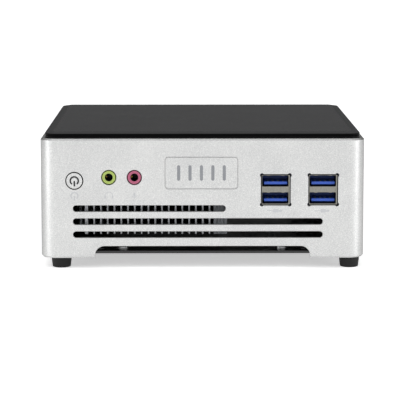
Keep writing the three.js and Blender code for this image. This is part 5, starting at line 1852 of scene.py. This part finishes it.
stage = {"floor": 14.0, "floorGlow": 0.5, "room": 1.12, "dim": "2e2e2e", "overhead": 0.62,
         "behind": 0.078, "frontEdge": (0.1, 0.75), "aboveEdge": (0.35, 0.95),
         "behindEdge": (0.5, 0.9), "sun": 0.35, "sunSize": 40, "sunTilt": (28, -14, 0),
         "strip": (0.2, 1.2), "stripPower": 9.0, "stripAngle": 62, "stripDistance": 1.5,
         "stripHeight": 0.45}
view = {"lens": 176.4, "sensor": 36.0, "near": 0.05, "far": 60.0,
        "place": (-0.00756, -1.00145, 0.1623), "pitch": 0.1392, "yaw": 0.0069}


def makeFloor():
    mesh = bpy.data.meshes.new("floor")
    half = stage["floor"]
    mesh.from_pydata([(-half, -half, 0), (half, -half, 0), (half, half, 0), (-half, half, 0)],
                     [], [(0, 1, 2, 3)])
    floor = bpy.data.objects.new("floor", mesh)
    fixed = {"Specular IOR Level": 0.0, "Emission Color": (1, 1, 1, 1),
             "Emission Strength": stage["floorGlow"]}
    mesh.materials.append(makeFinish("paleFloor", fixed, lambda graph: {
        "Base Color": graph.mix(grain(graph, 40.0), tone("f4f4f4"), tone("fafafa")),
        "Roughness": 0.9 + grain(graph, 9.0) * 0.1}))
    scene.collection.objects.link(floor)


def addLight(name, place, size, power, target=(0.0, 0.0, 0.04)):
    light = bpy.data.lights.new(name, "AREA")
    light.shape = "RECTANGLE"
    light.size, light.size_y = size
    light.energy = power
    holder = bpy.data.objects.new(name, light)
    holder.location = place
    holder.rotation_euler = (Vector(place) - Vector(target)).to_track_quat("Z", "Y").to_euler()
    scene.collection.objects.link(holder)


def makeLight():
    # a room that is bright in front of the computer and overhead, and dim at its sides and back
    world = bpy.data.worlds.new("softRoom")
    world.use_nodes = True
    graph = Graph(world.node_tree)
    place = graph.node("ShaderNodeTexCoord", output="Generated")
    toBack = graph.node("ShaderNodeSeparateXYZ", {}, {"Vector": place}, "Y")
    upward = graph.node("ShaderNodeSeparateXYZ", {}, {"Vector": place}, "Z")
    smooth = {"interpolation_type": "SMOOTHSTEP"}

    def towards(value, edge):
        # how far the direction lies inside that side of the room, from 0 to 1
        return graph.node("ShaderNodeMapRange", smooth,
                          {"Value": value, "From Min": edge[0], "From Max": edge[1]})

    front = towards(0.0 - toBack, stage["frontEdge"])
    above = towards(upward, stage["aboveEdge"])
    behind = towards(toBack, stage["behindEdge"])
    share = graph.node("ShaderNodeMath", {"operation": "MAXIMUM"},
                       {0: front, 1: above * stage["overhead"] + behind * stage["behind"]})
    background = world.node_tree.nodes["Background"]
    graph.feed(background.inputs["Color"], graph.mix(share, tone(stage["dim"]), tone("ffffff")))
    background.inputs["Strength"].default_value = stage["room"]
    scene.world = world
    sun = bpy.data.lights.new("overhead", "SUN")
    sun.energy = stage["sun"]
    sun.angle = math.radians(stage["sunSize"])
    holder = bpy.data.objects.new("overhead", sun)
    holder.rotation_euler = [math.radians(turn) for turn in stage["sunTilt"]]
    scene.collection.objects.link(holder)
    angle = math.radians(stage["stripAngle"])
    for name, side in (("stripLeft", -1), ("stripRight", 1)):
        far = stage["stripDistance"]
        addLight(name, (side * far * math.sin(angle), -far * math.cos(angle),
                        stage["stripHeight"]), stage["strip"], stage["stripPower"])


def makeCamera():
    camera = bpy.data.objects.new("camera", bpy.data.cameras.new("camera"))
    camera.data.lens = view["lens"]
    camera.data.sensor_width = view["sensor"]
    camera.data.clip_start = view["near"]
    camera.data.clip_end = view["far"]
    camera.location = view["place"]
    pitch, yaw = view["pitch"], view["yaw"]
    forward = Vector((math.sin(yaw) * math.cos(pitch), math.cos(yaw) * math.cos(pitch),
                      -math.sin(pitch)))
    camera.rotation_euler = forward.to_track_quat("-Z", "Y").to_euler()
    scene.collection.objects.link(camera)
    scene.camera = camera
    scene.view_settings.view_transform = "Standard"


makeFloor()
makeLight()
makeCamera()
print("stage, light and camera made")
